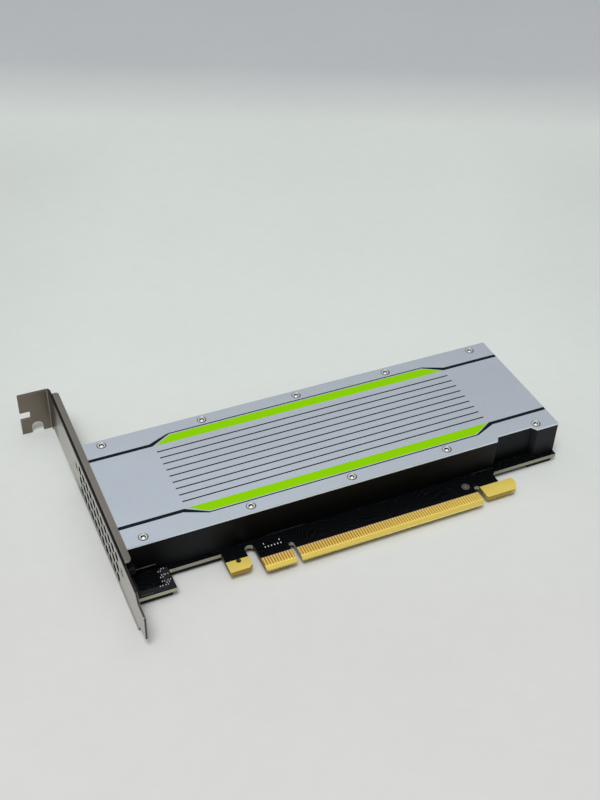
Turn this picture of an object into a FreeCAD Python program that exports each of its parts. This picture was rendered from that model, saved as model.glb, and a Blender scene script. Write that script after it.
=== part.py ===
"""Passive accelerator card: a low-profile, single-slot expansion board with a full-length heatsink,
a flat cover plate and a full-height mounting bracket.

Frame: X runs along the board, from the key notch of the edge connector towards the tail; Y runs from
the tips of the edge connector towards the rear edge; Z is 0 on the component side of the board and
grows towards the cover. Millimetres throughout.
"""
import FreeCAD, Part
import os
import re
import Sketcher

# --------------------------------------------------------------------------------------------------
# Driving dimensions: alias, value, meaning
# --------------------------------------------------------------------------------------------------
SIZES = [
    # the circuit board's outline
    ("board_left", -57.15, "left edge of the board"),
    ("board_length", 167.65, "length of the board"),
    ("board_rear", 68.90, "rear edge of the board, from the contact tips"),
    ("board_thick", 1.57, "thickness of the board"),
    ("foot_front", 4.16, "front edge of the foot beside the bracket"),
    ("foot_length", 14.99, "length of the foot"),
    ("shelf_front", 12.40, "front edge of the board between its tabs"),
    ("guide_left", -23.76, "left edge of the plated guide tab"),
    ("guide_right", -15.65, "right edge of the plated guide tab"),
    ("guide_front", 3.20, "front edge of the plated guide tab"),
    ("guide_corner", 1.20, "cut corner of the guide tab"),
    ("guide_hole_x", -19.45, "small plated hole of the guide tab, along the board"),
    ("guide_hole_y", 7.35, "the same hole, across the board"),
    ("guide_hole_radius", 0.40, "its radius"),
    ("round_notch_rear", 12.75, "end of the round notch left of the contacts"),
    ("contact_left", -12.15, "left end of the contact tongue"),
    ("contact_right", 72.15, "right end of the contact tongue"),
    ("contact_corner", 0.60, "cut corners of the contact tongue"),
    ("key_width", 1.90, "width of the key notch"),
    ("key_rear", 8.60, "end of the key notch"),
    ("bevel_length", 1.30, "length of the bevel along the contact tips"),
    ("bevel_depth", 0.47, "depth of that bevel on each side"),
    ("relief_rear", 8.40, "end of the narrow notch right of the contacts"),
    ("hook_left", 74.40, "left edge of the retention hook"),
    ("hook_right", 88.00, "right end of the retention hook"),
    ("hook_front", 1.75, "front edge of the retention hook"),
    ("hook_rear", 7.50, "rear edge of the hook's arm"),
    ("hook_slope_x", 2.06, "cut end of the hook, along the board"),
    ("hook_slope_y", 2.85, "cut end of the hook, across the board"),
    ("latch_left", 82.40, "closed end of the latch slot behind the hook"),
    ("latch_round", 1.20, "round corner at the closed end of the latch slot"),
    ("foot_round", 0.60, "round outer corners of the board"),
    # contacts and plating
    ("contact_pitch", 1.00, "pitch of the edge contacts"),
    ("contact_width", 0.70, "width of one contact"),
    ("contact_front", 1.35, "front end of a contact"),
    ("contact_rear", 5.60, "rear end of a contact"),
    ("contact_first", 1.50, "first contact on each side of the key, from its centre"),
    ("left_contacts", 11, "contacts left of the key on one side"),
    ("right_contacts", 71, "contacts right of the key on one side"),
    ("plating_thick", 0.05, "thickness of the gold plating"),
    ("guide_plating_rear", 8.10, "rear end of the plating on the guide tab"),
    ("ground_ring_x", 69.70, "plated ring behind the contacts, along the board"),
    ("ground_ring_y", 9.50, "plated ring behind the contacts, across the board"),
    ("ground_ring_radius", 1.55, "outer radius of that ring"),
    ("ground_hole_radius", 0.60, "radius of the hole in that ring"),
    # cover plate and heatsink frame
    ("cover_top", 13.40, "top face of the cover plate"),
    ("cover_thick", 0.80, "thickness of the cover plate"),
    ("cover_overhang", 0.15, "how far the cover reaches left of the board, under the flange"),
    ("cover_front", 14.54, "front edge of the cover plate and the frame"),
    ("cover_rear_inset", 0.56, "rear edge of cover and frame, inside the board's rear edge"),
    ("recess_start", 26.20, "start of the recess in the front wall, from the tail"),
    ("recess_end", 9.00, "end of the recess in the front wall, from the tail"),
    ("recess_depth", 2.20, "depth of the recess"),
    ("recess_slope", 1.50, "slant of the recess's left end"),
    ("recess_slope_right", 1.50, "slant of the recess's right end"),
    ("wall_thick", 1.60, "thickness of the frame's walls"),
    ("wall_lift", 2.00, "clearance under the front wall beside the bracket"),
    ("wall_lift_length", 10.95, "end of that clearance, from the board's left edge"),
    ("base_inset", 5.15, "left end of the frame's base plate, from the board's left edge"),
    ("base_low", 2.50, "underside of the frame's base plate"),
    ("base_top", 4.20, "upper side of the frame's base plate"),
    ("boss_radius", 2.60, "radius of a screw boss"),
    ("screw_inset_left", 8.50, "first cover screw, from the board's left edge"),
    ("screw_inset_right", 8.03, "last cover screw, from the tail"),
    ("screw_inset_front", 2.95, "front row of cover screws, from the cover's edge"),
    ("screw_inset_rear", 2.64, "rear row of cover screws, from the cover's edge"),
    ("screw_columns", 5, "cover screws in a row"),
    ("screw_head_radius", 1.65, "head radius of a cover screw"),
    ("screw_thread_radius", 0.95, "thread radius of a cover screw"),
    ("screw_length", 5.00, "length of a cover screw"),
    ("screw_sink", 0.05, "how far a countersunk head lies below the face"),
    ("head_clearance", 0.05, "clearance round a screw head"),
    ("tip_gap", 0.30, "free depth below a screw's tip"),
    ("thread_clearance", 0.02, "clearance round a screw thread"),
    ("socket_radius", 0.75, "corner radius of a hexagon socket"),
    ("socket_depth", 0.60, "depth of a hexagon socket"),
    # fins
    ("fin_count", 24, "number of fins"),
    ("fin_pitch", 1.75, "pitch of the fins"),
    ("fin_thick", 0.40, "thickness of a fin"),
    ("fin_base_thick", 1.00, "thickness of the fins' base"),
    ("fin_inset_left", 7.15, "left end of the fins, from the board's left edge"),
    ("fin_inset_right", 4.50, "right end of the fins, from the tail"),
    ("fin_gap", 0.20, "gap between fins and cover plate"),
    # bracket
    ("bracket_step", 1.25, "outer face of the bracket, beyond the board's left edge"),
    ("sheet", 0.86, "thickness of the bracket's sheet"),
    ("bracket_low", -4.16, "lower edge of the bracket"),
    ("bracket_rear", 105.39, "outer face of the bracket's tab"),
    ("bracket_height", 118.10, "height of the bracket, tab to tongue"),
    ("tongue_width", 10.19, "width of the tongue"),
    ("tongue_length", 6.11, "length of the straight tongue"),
    ("tongue_round", 1.00, "round corners at the tongue's tip"),
    ("shoulder_length", 2.20, "length of the shoulders that narrow to the tongue"),
    ("flange_depth", 3.10, "depth of the bracket's flange, over the cover"),
    ("flange_start", 8.40, "front end of the flange"),
    ("flange_end", 99.80, "rear end of the flange"),
    ("flange_round", 1.20, "round corners of the flange"),
    ("bend_radius", 1.20, "outer radius of the bracket's bends"),
    ("tab_length", 11.44, "how far the tab stands out"),
    ("tab_low", -6.00, "lower edge of the tab"),
    ("tab_high", 12.70, "upper edge of the tab"),
    ("tab_notch_low", 1.10, "lower side of the square notch in the tab"),
    ("tab_notch_high", 4.30, "upper side of the square notch in the tab"),
    ("tab_notch_depth", 3.80, "depth of the square notch"),
    ("slot_width", 4.42, "width of the screw slot in the tab"),
    ("slot_reach", 5.45, "centre of the screw slot, from the bracket's face"),
    ("slot_centre", -3.50, "centre of the screw slot's round end"),
    ("grille_mid", 37.87, "middle of the grille, across the board"),
    ("grille_low", -0.10, "lowest row of the grille"),
    ("grille_columns", 11, "columns of the grille"),
    ("grille_rows", 3, "rows of the grille"),
    ("grille_pitch_y", 4.375, "pitch of the grille's columns"),
    ("grille_pitch_z", 4.80, "pitch of the grille's rows"),
    ("grille_radius", 1.85, "corner radius of one hexagonal hole"),
    ("lug_spread", 27.35, "bracket screws, from the middle of the grille"),
    ("lug_level", 7.30, "height of the bracket screws"),
    ("lug_radius", 1.80, "radius of a lug for a bracket screw"),
    ("lug_length", 3.30, "length of a lug"),
    ("lug_head_radius", 1.75, "head radius of a bracket screw"),
    ("lug_thread_radius", 1.00, "thread radius of a bracket screw"),
    ("lug_screw_length", 3.30, "length of a bracket screw"),
    # backplate
    ("film_thick", 0.20, "thickness of the insulating film"),
    ("backplate_thick", 1.93, "thickness of the backplate"),
    ("backplate_inset", 0.80, "inset of the backplate from the board's front and rear edges"),
    ("backplate_side_inset", 1.25, "inset of the backplate from the board's left and right edges"),
    ("backplate_setback", 15.20, "front edge of the backplate behind the connector"),
    ("backplate_tail_length", 11.50, "where the backplate comes forward again, from the tail"),
    ("back_head_thick", 0.50, "height of a backplate screw's head"),
    ("back_screw_length", 4.00, "length of a backplate screw above the backplate"),
    # processor and what clamps it
    ("column_margin", 6.00, "from the frame's ends to the first and the last column of parts"),
    ("substrate_side", 40.00, "side of the processor's substrate"),
    ("substrate_thick", 1.20, "thickness of the substrate"),
    ("stiffener_width", 3.20, "width of the stiffener's frame"),
    ("stiffener_thick", 0.60, "thickness of the stiffener's frame"),
    ("die_length", 25.00, "length of the die"),
    ("die_width", 22.00, "width of the die"),
    ("die_thick", 0.80, "thickness of the die"),
    ("paste_thick", 0.10, "thickness of the thermal paste"),
    ("spreader_length", 44.00, "copper heat spreader, along the board"),
    ("spreader_width", 40.00, "copper heat spreader, across the board"),
    ("spreader_gap", 0.50, "gap round the spreader in the frame's window"),
    ("clamp_spread_x", 26.00, "clamp screws from the processor's centre, along the board"),
    ("clamp_spread_y", 19.00, "clamp screws from the processor's centre, across the board"),
    ("clamp_post_radius", 2.20, "radius of a post for a clamp screw"),
    ("clamp_thread_radius", 1.00, "thread radius of a clamp screw"),
    ("clamp_head_radius", 2.00, "head radius of a clamp screw"),
    ("washer_radius", 2.40, "outer radius of a clamp washer"),
    ("washer_thick", 0.20, "thickness of a clamp washer"),
    # memory
    ("memory_length", 12.00, "memory chip, along the board"),
    ("memory_width", 14.00, "memory chip, across the board"),
    ("memory_thick", 1.20, "thickness of a memory chip"),
    ("memory_pitch_y", 17.00, "pitch of the memory rows"),
    # power supply
    ("coil_side", 6.60, "side of an inductor"),
    ("coil_height", 3.90, "height of an inductor"),
    ("phase_count", 5, "phases of the power supply: an inductor, a stage and a capacitor each"),
    ("phase_pitch", 8.00, "pitch of the phases, across the board"),
    ("stage_length", 5.00, "power stage, along the board"),
    ("stage_width", 6.00, "power stage, across the board"),
    ("stage_thick", 1.00, "thickness of a power stage"),
    ("reservoir_length", 7.30, "reservoir capacitor, along the board"),
    ("reservoir_width", 4.30, "reservoir capacitor, across the board"),
    ("reservoir_height", 1.90, "height of a reservoir capacitor"),
    ("service_spread", 12.00, "control and firmware chips, from the middle of the cover"),
    ("controller_side", 9.00, "side of the control chip"),
    ("controller_thick", 0.90, "thickness of the control chip"),
    ("firmware_length", 5.20, "firmware chip's body, along the board"),
    ("firmware_width", 4.00, "firmware chip's body, across the board"),
    ("firmware_height", 1.70, "height of the firmware chip"),
    ("lead_width", 0.42, "width of a lead of the firmware chip"),
    ("lead_reach", 0.90, "how far a lead stands out"),
    ("lead_thick", 0.30, "thickness of a lead"),
    ("lead_pitch", 1.27, "pitch of the firmware chip's leads"),
    ("lead_count", 4, "leads on each side of the firmware chip"),
    ("crystal_length", 3.20, "crystal can, along the board"),
    ("crystal_width", 2.50, "crystal can, across the board"),
    ("crystal_height", 0.80, "height of the crystal can"),
    # small chips, pads and marks on the board's front strip
    ("chip_inset_x", 10.40, "first column of small chips, from the board's left edge"),
    ("chip_inset_y", 2.34, "first row of small chips, from the foot's front edge"),
    ("chip_step_x", 0.65, "step of the small chips' grid, along the board"),
    ("chip_step_y", 0.90, "step of the small chips' grid, across the board"),
    ("chip_length", 0.60, "ceramic part of a small chip, along the board"),
    ("chip_width", 0.50, "width of a small chip"),
    ("chip_height", 0.35, "height of a small chip"),
    ("terminal_length", 0.25, "tinned end of a small chip"),
    ("test_pad_inset_x", 3.30, "first test pad, from the board's left edge"),
    ("test_pad_inset_y", 0.60, "front edge of the test pads, from the foot's front edge"),
    ("test_pad_side", 0.45, "side of a test pad"),
    ("test_pad_pitch", 0.82, "pitch of the test pads"),
    ("test_pad_count", 5, "number of test pads"),
    ("mark_left", -8.90, "first printed mark between notch and key"),
    ("mark_front", 9.40, "front edge of the row of printed marks"),
    ("mark_pitch", 1.15, "pitch of the printed marks"),
    ("mark_count", 6, "number of printed marks"),
    ("mark_width", 0.30, "width of a printed mark"),
    ("mark_length", 0.70, "length of a printed mark"),
    ("mark_step", 1.60, "second row of printed marks behind the first"),
    # print on the cover
    ("print_thick", 0.03, "thickness of the print"),
    ("print_gap", 0.10, "gap between the print and an edge it meets"),
    ("band_turn", 0.80, "how much later the inner edge of a band turns"),
    ("print_inset_left", 24.25, "where the left bands turn, from the board's left edge"),
    ("print_inset_right", 23.20, "where the right bands turn, from the tail"),
    ("band_half", 17.60, "band's centre line, from the middle of the cover"),
    ("band_width", 1.45, "width of a band"),
    ("rule_turn", 8.00, "length of the slant between a band and its thin line"),
    ("rule_half", 21.42, "thin line's centre, from the middle of the cover"),
    ("rule_width", 0.45, "width of that thin line"),
    ("stripe_outer", 20.76, "outer edge of a stripe, from the middle of the cover"),
    ("stripe_inner", 16.82, "inner edge of a stripe, from the middle of the cover"),
    ("stripe_tip_inset_left", 2.00, "left tip of a stripe, inside the bands' turn"),
    ("stripe_tip_inset_right", 1.45, "right tip of a stripe, inside the bands' turn"),
    ("line_count", 9, "number of fine lines"),
    ("line_pitch", 3.36, "pitch of the fine lines"),
    ("line_width", 0.52, "width of a fine line"),
    ("line_inset_left", 1.40, "left ends of the fine lines, inside the bands' turn"),
    ("line_inset_right", 1.05, "right ends of the fine lines, inside the bands' turn"),
    ("slack", 1.00, "how far a cutting shape runs past what it cuts"),
]

ALIASES = {alias for alias, _, _ in SIZES}

doc = FreeCAD.newDocument("accelerator_card")
dims = doc.addObject("Spreadsheet::Sheet", "dims")
for row, (alias, value, meaning) in enumerate(SIZES, start=1):
    dims.set(f"A{row}", meaning)
    dims.set(f"B{row}", str(value))
    dims.setAlias(f"B{row}", alias)
doc.recompute()


# --------------------------------------------------------------------------------------------------
# Places that follow from the sizes: each name stands for its formula wherever a formula uses it
# --------------------------------------------------------------------------------------------------
DERIVED = {
    "board_right": "board_left + board_length",
    "foot_right": "board_left + foot_length",
    "bracket_out": "board_left - bracket_step",
    "bracket_in": "bracket_out + sheet",
    "bracket_top": "cover_top + sheet",
    "tongue_tip": "bracket_rear - bracket_height",
    "tongue_start": "tongue_tip + tongue_length",
    "shoulder_start": "tongue_start + shoulder_length",
    "cover_left": "board_left - cover_overhang",
    "cover_rear": "board_rear - cover_rear_inset",
    "middle": "(cover_front + cover_rear) / 2",
    "wall_top": "cover_top - cover_thick",
    "recess_left": "board_right - recess_start",
    "recess_right": "board_right - recess_end",
    "recess_front": "cover_front + recess_depth",
    "wall_lift_end": "board_left + wall_lift_length",
    "base_left": "board_left + base_inset",
    "fin_left": "board_left + fin_inset_left",
    "fin_right": "board_right - fin_inset_right",
    "key_half": "key_width / 2",
    "film_low": "-board_thick - film_thick",
    "back_low": "film_low - backplate_thick",
    "backplate_tail": "board_right - backplate_tail_length",
    "die_pasted": "substrate_thick + die_thick + paste_thick",
    "screw_first_x": "board_left + screw_inset_left",
    "screw_last_x": "board_right - screw_inset_right",
    "screw_pitch": "(screw_last_x - screw_first_x) / (screw_columns - 1)",
    "screw_front_y": "cover_front + screw_inset_front",
    "screw_rear_y": "cover_rear - screw_inset_rear",
    "chip_left": "board_left + chip_inset_x",
    "chip_front": "foot_front + chip_inset_y",
    "test_pad_left": "board_left + test_pad_inset_x",
    "test_pad_front": "foot_front + test_pad_inset_y",
    "print_left": "board_left + print_inset_left",
    "print_right": "board_right - print_inset_right",
    "rule_left": "print_left + rule_turn",
    "rule_right": "print_right - rule_turn",
    "stripe_tip_left": "print_left + stripe_tip_inset_left",
    "stripe_tip_right": "print_right - stripe_tip_inset_right",
    "line_left": "print_left + line_inset_left",
    "line_right": "print_right - line_inset_right",
}

# Columns of parts under the heatsink, from the bracket to the tail, spread with even gaps
COLUMNS = [
    ("service_x", "controller_side"),
    ("memory_x_1", "memory_length"),
    ("memory_x_2", "memory_length"),
    ("processor_x", "substrate_side"),
    ("memory_x_3", "memory_length"),
    ("memory_x_4", "memory_length"),
    ("coil_x", "coil_side"),
    ("stage_x", "stage_length"),
    ("reservoir_x", "reservoir_length"),
]
DERIVED["column_first"] = "bracket_in + column_margin"
DERIVED["column_last"] = "board_right - wall_thick - column_margin"
DERIVED["column_gap"] = (f"(column_last - column_first - {' - '.join(width for _, width in COLUMNS)})"
                         f" / {len(COLUMNS) - 1}")
taken = "column_first"
for column_name, column_width in COLUMNS:
    DERIVED[column_name] = f"{taken} + {column_width} / 2"
    taken = f"{column_name} + {column_width} / 2 + column_gap"


def cell(formula):
    """Turn a formula written with names into one that reads the sheet's cells."""
    def read(word):
        name = word.group()
        if name in DERIVED:
            return f"({cell(DERIVED[name])})"
        return f"dims.{name}" if name in ALIASES else name

    return re.sub(r"[a-z][a-z_0-9]+", read, str(formula))


def size(alias):
    """The sheet's present value of one alias."""
    return float(dims.get(alias))


def bind(thing, **formulas):
    """Bind properties of a thing to formulas; x, y and z stand for its placement."""
    for name, formula in formulas.items():
        path = f"Placement.Base.{name}" if name in ("x", "y", "z") else name
        thing.setExpression(path, cell(formula))
    return thing


# --------------------------------------------------------------------------------------------------
# Sketches
# --------------------------------------------------------------------------------------------------
def hold(sketch, geometry, point, x, y):
    """Hold one point of a sketch at two formulas, measured from the sketch's origin."""
    place = sketch.getPoint(geometry, point)
    for kind, value, formula in (("DistanceX", place.x, x), ("DistanceY", place.y, y)):
        index = sketch.addConstraint(Sketcher.Constraint(kind, -1, 1, geometry, point, value))
        sketch.setExpression(f"Constraints[{index}]", cell(formula))


def polygon(sketch, corners):
    """A closed outline of straight edges with every corner held by the sheet."""
    count = len(corners)
    circle = Part.Circle(FreeCAD.Vector(0, 0, 0), FreeCAD.Vector(0, 0, 1), 10)
    start = [circle.value(6.283185 * step / count) for step in range(count)]
    lines = [Part.LineSegment(start[step], start[(step + 1) % count]) for step in range(count)]
    first = len(sketch.Geometry)
    sketch.addGeometry(lines, False)
    sketch.addConstraint([Sketcher.Constraint("Coincident", first + step, 2,
                                              first + (step + 1) % count, 1)
                          for step in range(count)])
    for step, (x, y) in enumerate(corners):
        hold(sketch, first + step, 1, x, y)


def circles(sketch, centres, radius):
    """Circles of one radius round centres, each a pair of formulas."""
    for place, (x, y) in enumerate(centres):
        ring = Part.Circle(FreeCAD.Vector(10 * place, 5, 0), FreeCAD.Vector(0, 0, 1), 2)
        index = sketch.addGeometry(ring, False)
        hold(sketch, index, 3, x, y)
        held = sketch.addConstraint(Sketcher.Constraint("Radius", index, 2))
        sketch.setExpression(f"Constraints[{held}]", cell(radius))


def rectangle(left, right, front, rear):
    """The four corners of a rectangle, as formulas."""
    return [(left, front), (right, front), (right, rear), (left, rear)]


# --------------------------------------------------------------------------------------------------
# PartDesign bodies
# --------------------------------------------------------------------------------------------------
def new_body(label):
    body = doc.addObject("PartDesign::Body", label)
    body.Label = label
    return body


def body_sketch(body, name, plane="XY_Plane", level="0"):
    """An empty sketch on one of the body's own planes, moved along the plane's normal."""
    sketch = body.newObject("Sketcher::SketchObject", name)
    own = [item for item in body.Origin.OriginFeatures if item.Role == plane][0]
    sketch.AttachmentSupport = [(own, "")]
    sketch.MapMode = "FlatFace"
    sketch.setExpression("AttachmentOffset.Base.z", cell(level))
    return sketch


def feature(body, kind, name, sketch, length, reverse=False):
    made = body.newObject(f"PartDesign::{kind}", name)
    made.Profile = sketch
    made.Reversed = reverse
    made.setExpression("Length", cell(length))
    sketch.Visibility = False
    return made


def pad(body, name, corners, length, plane="XY_Plane", level="0", reverse=False):
    sketch = body_sketch(body, f"{name}_sketch", plane, level)
    polygon(sketch, corners)
    return feature(body, "Pad", name, sketch, length, reverse)


def pocket(body, name, corners, length, plane="XY_Plane", level="0", reverse=False):
    """Cut a polygon; a pocket runs against the plane's normal unless it is reversed."""
    sketch = body_sketch(body, f"{name}_sketch", plane, level)
    polygon(sketch, corners)
    return feature(body, "Pocket", name, sketch, length, reverse)


def round_pad(body, name, centres, radius, length, plane="XY_Plane", level="0", reverse=False):
    sketch = body_sketch(body, f"{name}_sketch", plane, level)
    circles(sketch, centres, radius)
    return feature(body, "Pad", name, sketch, length, reverse)


def round_pocket(body, name, centres, radius, length, plane="XY_Plane", level="0", reverse=False):
    sketch = body_sketch(body, f"{name}_sketch", plane, level)
    circles(sketch, centres, radius)
    return feature(body, "Pocket", name, sketch, length, reverse)


def near(value, target):
    return abs(value - target) < 0.01


# --------------------------------------------------------------------------------------------------
# Part primitives
# --------------------------------------------------------------------------------------------------
def block(name, left, front, low, length, width, height):
    """A box from its lowest corner, every size a formula."""
    return bind(doc.addObject("Part::Box", name), x=left, y=front, z=low,
                Length=length, Width=width, Height=height)


def centred_block(name, x, y, low, length, width, height):
    return block(name, f"{x} - ({length}) / 2", f"{y} - ({width}) / 2", low, length, width, height)


def cylinder(name, x, y, low, radius, height):
    return bind(doc.addObject("Part::Cylinder", name), x=x, y=y, z=low,
                Radius=radius, Height=height)


def cone(name, x, y, low, radius_low, radius_high, height):
    return bind(doc.addObject("Part::Cone", name), x=x, y=y, z=low,
                Radius1=radius_low, Radius2=radius_high, Height=height)


def hexagon(name, x, y, low, radius, height):
    prism = doc.addObject("Part::Prism", name)
    prism.Polygon = 6
    return bind(prism, x=x, y=y, z=low, Circumradius=radius, Height=height)


def fuse(name, pieces):
    made = doc.addObject("Part::MultiFuse", name)
    made.Shapes = pieces
    return made


def cut(name, base, tool):
    made = doc.addObject("Part::Cut", name)
    made.Base = base
    made.Tool = tool
    return made


def group(name, pieces):
    """Several separate solids in one node."""
    made = doc.addObject("Part::Compound", name)
    made.Links = pieces
    return made


def layer(name, corners, low, height):
    """A flat layer of a polygonal outline, between two levels."""
    sketch = doc.addObject("Sketcher::SketchObject", f"{name}_sketch")
    polygon(sketch, corners)
    bind(sketch, z=low)
    made = doc.addObject("Part::Extrusion", name)
    made.Base = sketch
    made.DirMode = "Custom"
    made.Dir = FreeCAD.Vector(0, 0, 1)
    made.Solid = True
    return bind(made, LengthFwd=height)


def along_x(thing):
    """Turn a piece made along Z so that it points along -X, out of the bracket."""
    thing.Placement.Rotation = FreeCAD.Rotation(FreeCAD.Vector(0, 1, 0), -90)
    return thing


def grid(first_x, pitch_x, columns, rows):
    """Places of a screw grid: columns along X at each of the given rows."""
    return [(f"{first_x} + {column} * {pitch_x}", y) for y in rows for column in columns]


SCREW_ROWS = ["screw_front_y", "screw_rear_y"]
SCREW_PLACES = grid("screw_first_x", "screw_pitch", range(int(size("screw_columns"))), SCREW_ROWS)
BACK_SCREW_PLACES = grid("screw_first_x", "screw_pitch",
                         range(0, int(size("screw_columns")), 2), SCREW_ROWS)
CLAMP_PLACES = [(f"processor_x + {along} * clamp_spread_x", f"middle + {across} * clamp_spread_y")
                for along in (-1, 1) for across in (-1, 1)]
LUG_PLACES = [("grille_mid - lug_spread", "lug_level"), ("grille_mid + lug_spread", "lug_level")]


# --------------------------------------------------------------------------------------------------
# Circuit board, contacts and plating
# --------------------------------------------------------------------------------------------------
GUIDE_HOLE = ("guide_hole_x", "guide_hole_y")
GROUND_HOLE = ("ground_ring_x", "ground_ring_y")


def circuit_board():
    """The bare board: foot, guide tab, contact tongue, key notch and retention hook in one outline."""
    notch_round = "(contact_left - guide_right) / 2"
    relief_round = "(hook_left - contact_right) / 2"
    outline = [
        ("board_left", "foot_front"),
        ("foot_right", "foot_front"),
        ("foot_right", "shelf_front"),
        ("guide_left", "shelf_front"),
        ("guide_left", "guide_front"),
        ("guide_right - guide_corner", "guide_front"),
        ("guide_right", "guide_front + guide_corner"),
        ("guide_right", f"round_notch_rear - {notch_round}"),
        ("contact_left", f"round_notch_rear - {notch_round}"),
        ("contact_left", "contact_corner"),
        ("contact_left + contact_corner", "0"),
        ("-key_half - contact_corner / 2", "0"),
        ("-key_half", "contact_corner / 2"),
        ("-key_half", "key_rear - key_half"),
        ("key_half", "key_rear - key_half"),
        ("key_half", "contact_corner / 2"),
        ("key_half + contact_corner / 2", "0"),
        ("contact_right - contact_corner", "0"),
        ("contact_right", "contact_corner"),
        ("contact_right", f"relief_rear - {relief_round}"),
        ("hook_left", f"relief_rear - {relief_round}"),
        ("hook_left", "hook_front + contact_corner"),
        ("hook_left + contact_corner", "hook_front"),
        ("hook_right - hook_slope_x", "hook_front"),
        ("hook_right", "hook_front + hook_slope_y"),
        ("hook_right", "hook_rear - contact_corner"),
        ("hook_right - contact_corner", "hook_rear"),
        ("latch_left", "hook_rear"),
        ("latch_left", "shelf_front - latch_round"),
        ("latch_left + latch_round", "shelf_front"),
        ("board_right", "shelf_front"),
        ("board_right", "board_rear"),
        ("board_left", "board_rear"),
    ]
    body = new_body("circuit_board")
    pad(body, "board_outline", outline, "board_thick", reverse=True)
    for name, x, radius, rear in (
            ("round_notch", "(guide_right + contact_left) / 2", notch_round, "round_notch_rear"),
            ("key_notch", "0", "key_half", "key_rear"),
            ("relief_notch", "(contact_right + hook_left) / 2", relief_round, "relief_rear")):
        round_pocket(body, name, [(x, f"{rear} - {radius}")], radius, "board_thick")
    round_pocket(body, "guide_hole", [GUIDE_HOLE], "guide_hole_radius", "board_thick")
    round_pocket(body, "ground_hole", [GROUND_HOLE], "ground_hole_radius", "board_thick")
    round_pocket(body, "back_screw_holes", BACK_SCREW_PLACES,
                 "screw_thread_radius + head_clearance", "board_thick")
    round_pocket(body, "clamp_holes", CLAMP_PLACES,
                 "clamp_thread_radius + head_clearance", "board_thick")
    reach = "contact_right - contact_left + slack"
    for name, face, away in (("upper_bevel", "0", 1), ("lower_bevel", "-board_thick", -1)):
        wedge = [
            ("bevel_length", face),
            ("-bevel_length", f"{face} - 2 * {away} * bevel_depth"),
            ("-bevel_length", f"{face} + {away} * slack"),
            ("bevel_length", f"{face} + {away} * slack"),
        ]
        pocket(body, name, wedge, reach, "YZ_Plane", "contact_left - slack / 2", reverse=True)
    return body


def contact_places():
    """Left ends of the contacts on one side of the board."""
    left = [f"-contact_first - {step} * contact_pitch" for step in range(int(size("left_contacts")))]
    right = [f"contact_first + {step} * contact_pitch" for step in range(int(size("right_contacts")))]
    return [f"{place} - contact_width / 2" for place in left + right]


def edge_contacts(label, low):
    """All contacts of one side, as separate plated pads."""
    return group(label, [block(f"{label}_{number}", place, "contact_front", low, "contact_width",
                               "contact_rear - contact_front", "plating_thick")
                         for number, place in enumerate(contact_places())])


def both_faces(label, make):
    """A plated area repeated on the two faces of the board, made by a function of name and level."""
    return group(label, [make(f"{label}_upper", "0"),
                         make(f"{label}_lower", "-board_thick - plating_thick")])


def guide_plating(name, low):
    outline = [
        ("guide_left", "guide_front"),
        ("guide_right - guide_corner", "guide_front"),
        ("guide_right", "guide_front + guide_corner"),
        ("guide_right", "guide_plating_rear"),
        ("guide_left", "guide_plating_rear"),
    ]
    field = layer(f"{name}_field", outline, low, "plating_thick")
    hole = cylinder(f"{name}_hole", *GUIDE_HOLE, f"{low} - slack", "guide_hole_radius",
                    "plating_thick + 2 * slack")
    return cut(name, field, hole)


def hook_plating(name, low):
    outline = [
        ("hook_left", "hook_front + contact_corner"),
        ("hook_left + contact_corner", "hook_front"),
        ("hook_right - hook_slope_x", "hook_front"),
        ("hook_right", "hook_front + hook_slope_y"),
        ("hook_right", "hook_rear - contact_corner"),
        ("hook_right - contact_corner", "hook_rear"),
        ("hook_left", "hook_rear"),
    ]
    return layer(name, outline, low, "plating_thick")


def ground_ring(name, low):
    disc = cylinder(f"{name}_disc", *GROUND_HOLE, low, "ground_ring_radius", "plating_thick")
    hole = cylinder(f"{name}_hole", *GROUND_HOLE, f"{low} - slack", "ground_hole_radius",
                    "plating_thick + 2 * slack")
    return cut(name, disc, hole)


# --------------------------------------------------------------------------------------------------
# Heatsink: frame, fins and spreader
# --------------------------------------------------------------------------------------------------
def front_outline(left):
    """Outline of frame and cover, with the slanted recess in the front wall."""
    return [
        (left, "cover_front"),
        ("recess_left", "cover_front"),
        ("recess_left + recess_slope", "recess_front"),
        ("recess_right - recess_slope_right", "recess_front"),
        ("recess_right", "cover_front"),
        ("board_right", "cover_front"),
        ("board_right", "cover_rear"),
        (left, "cover_rear"),
    ]


def channel(left, right):
    """Space between the frame's walls, which step inwards behind the recess."""
    return [
        (left, "cover_front + wall_thick"),
        ("recess_left - wall_thick", "cover_front + wall_thick"),
        ("recess_left + recess_slope - wall_thick", "recess_front + wall_thick"),
        (right, "recess_front + wall_thick"),
        (right, "cover_rear - wall_thick"),
        (left, "cover_rear - wall_thick"),
    ]


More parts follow.
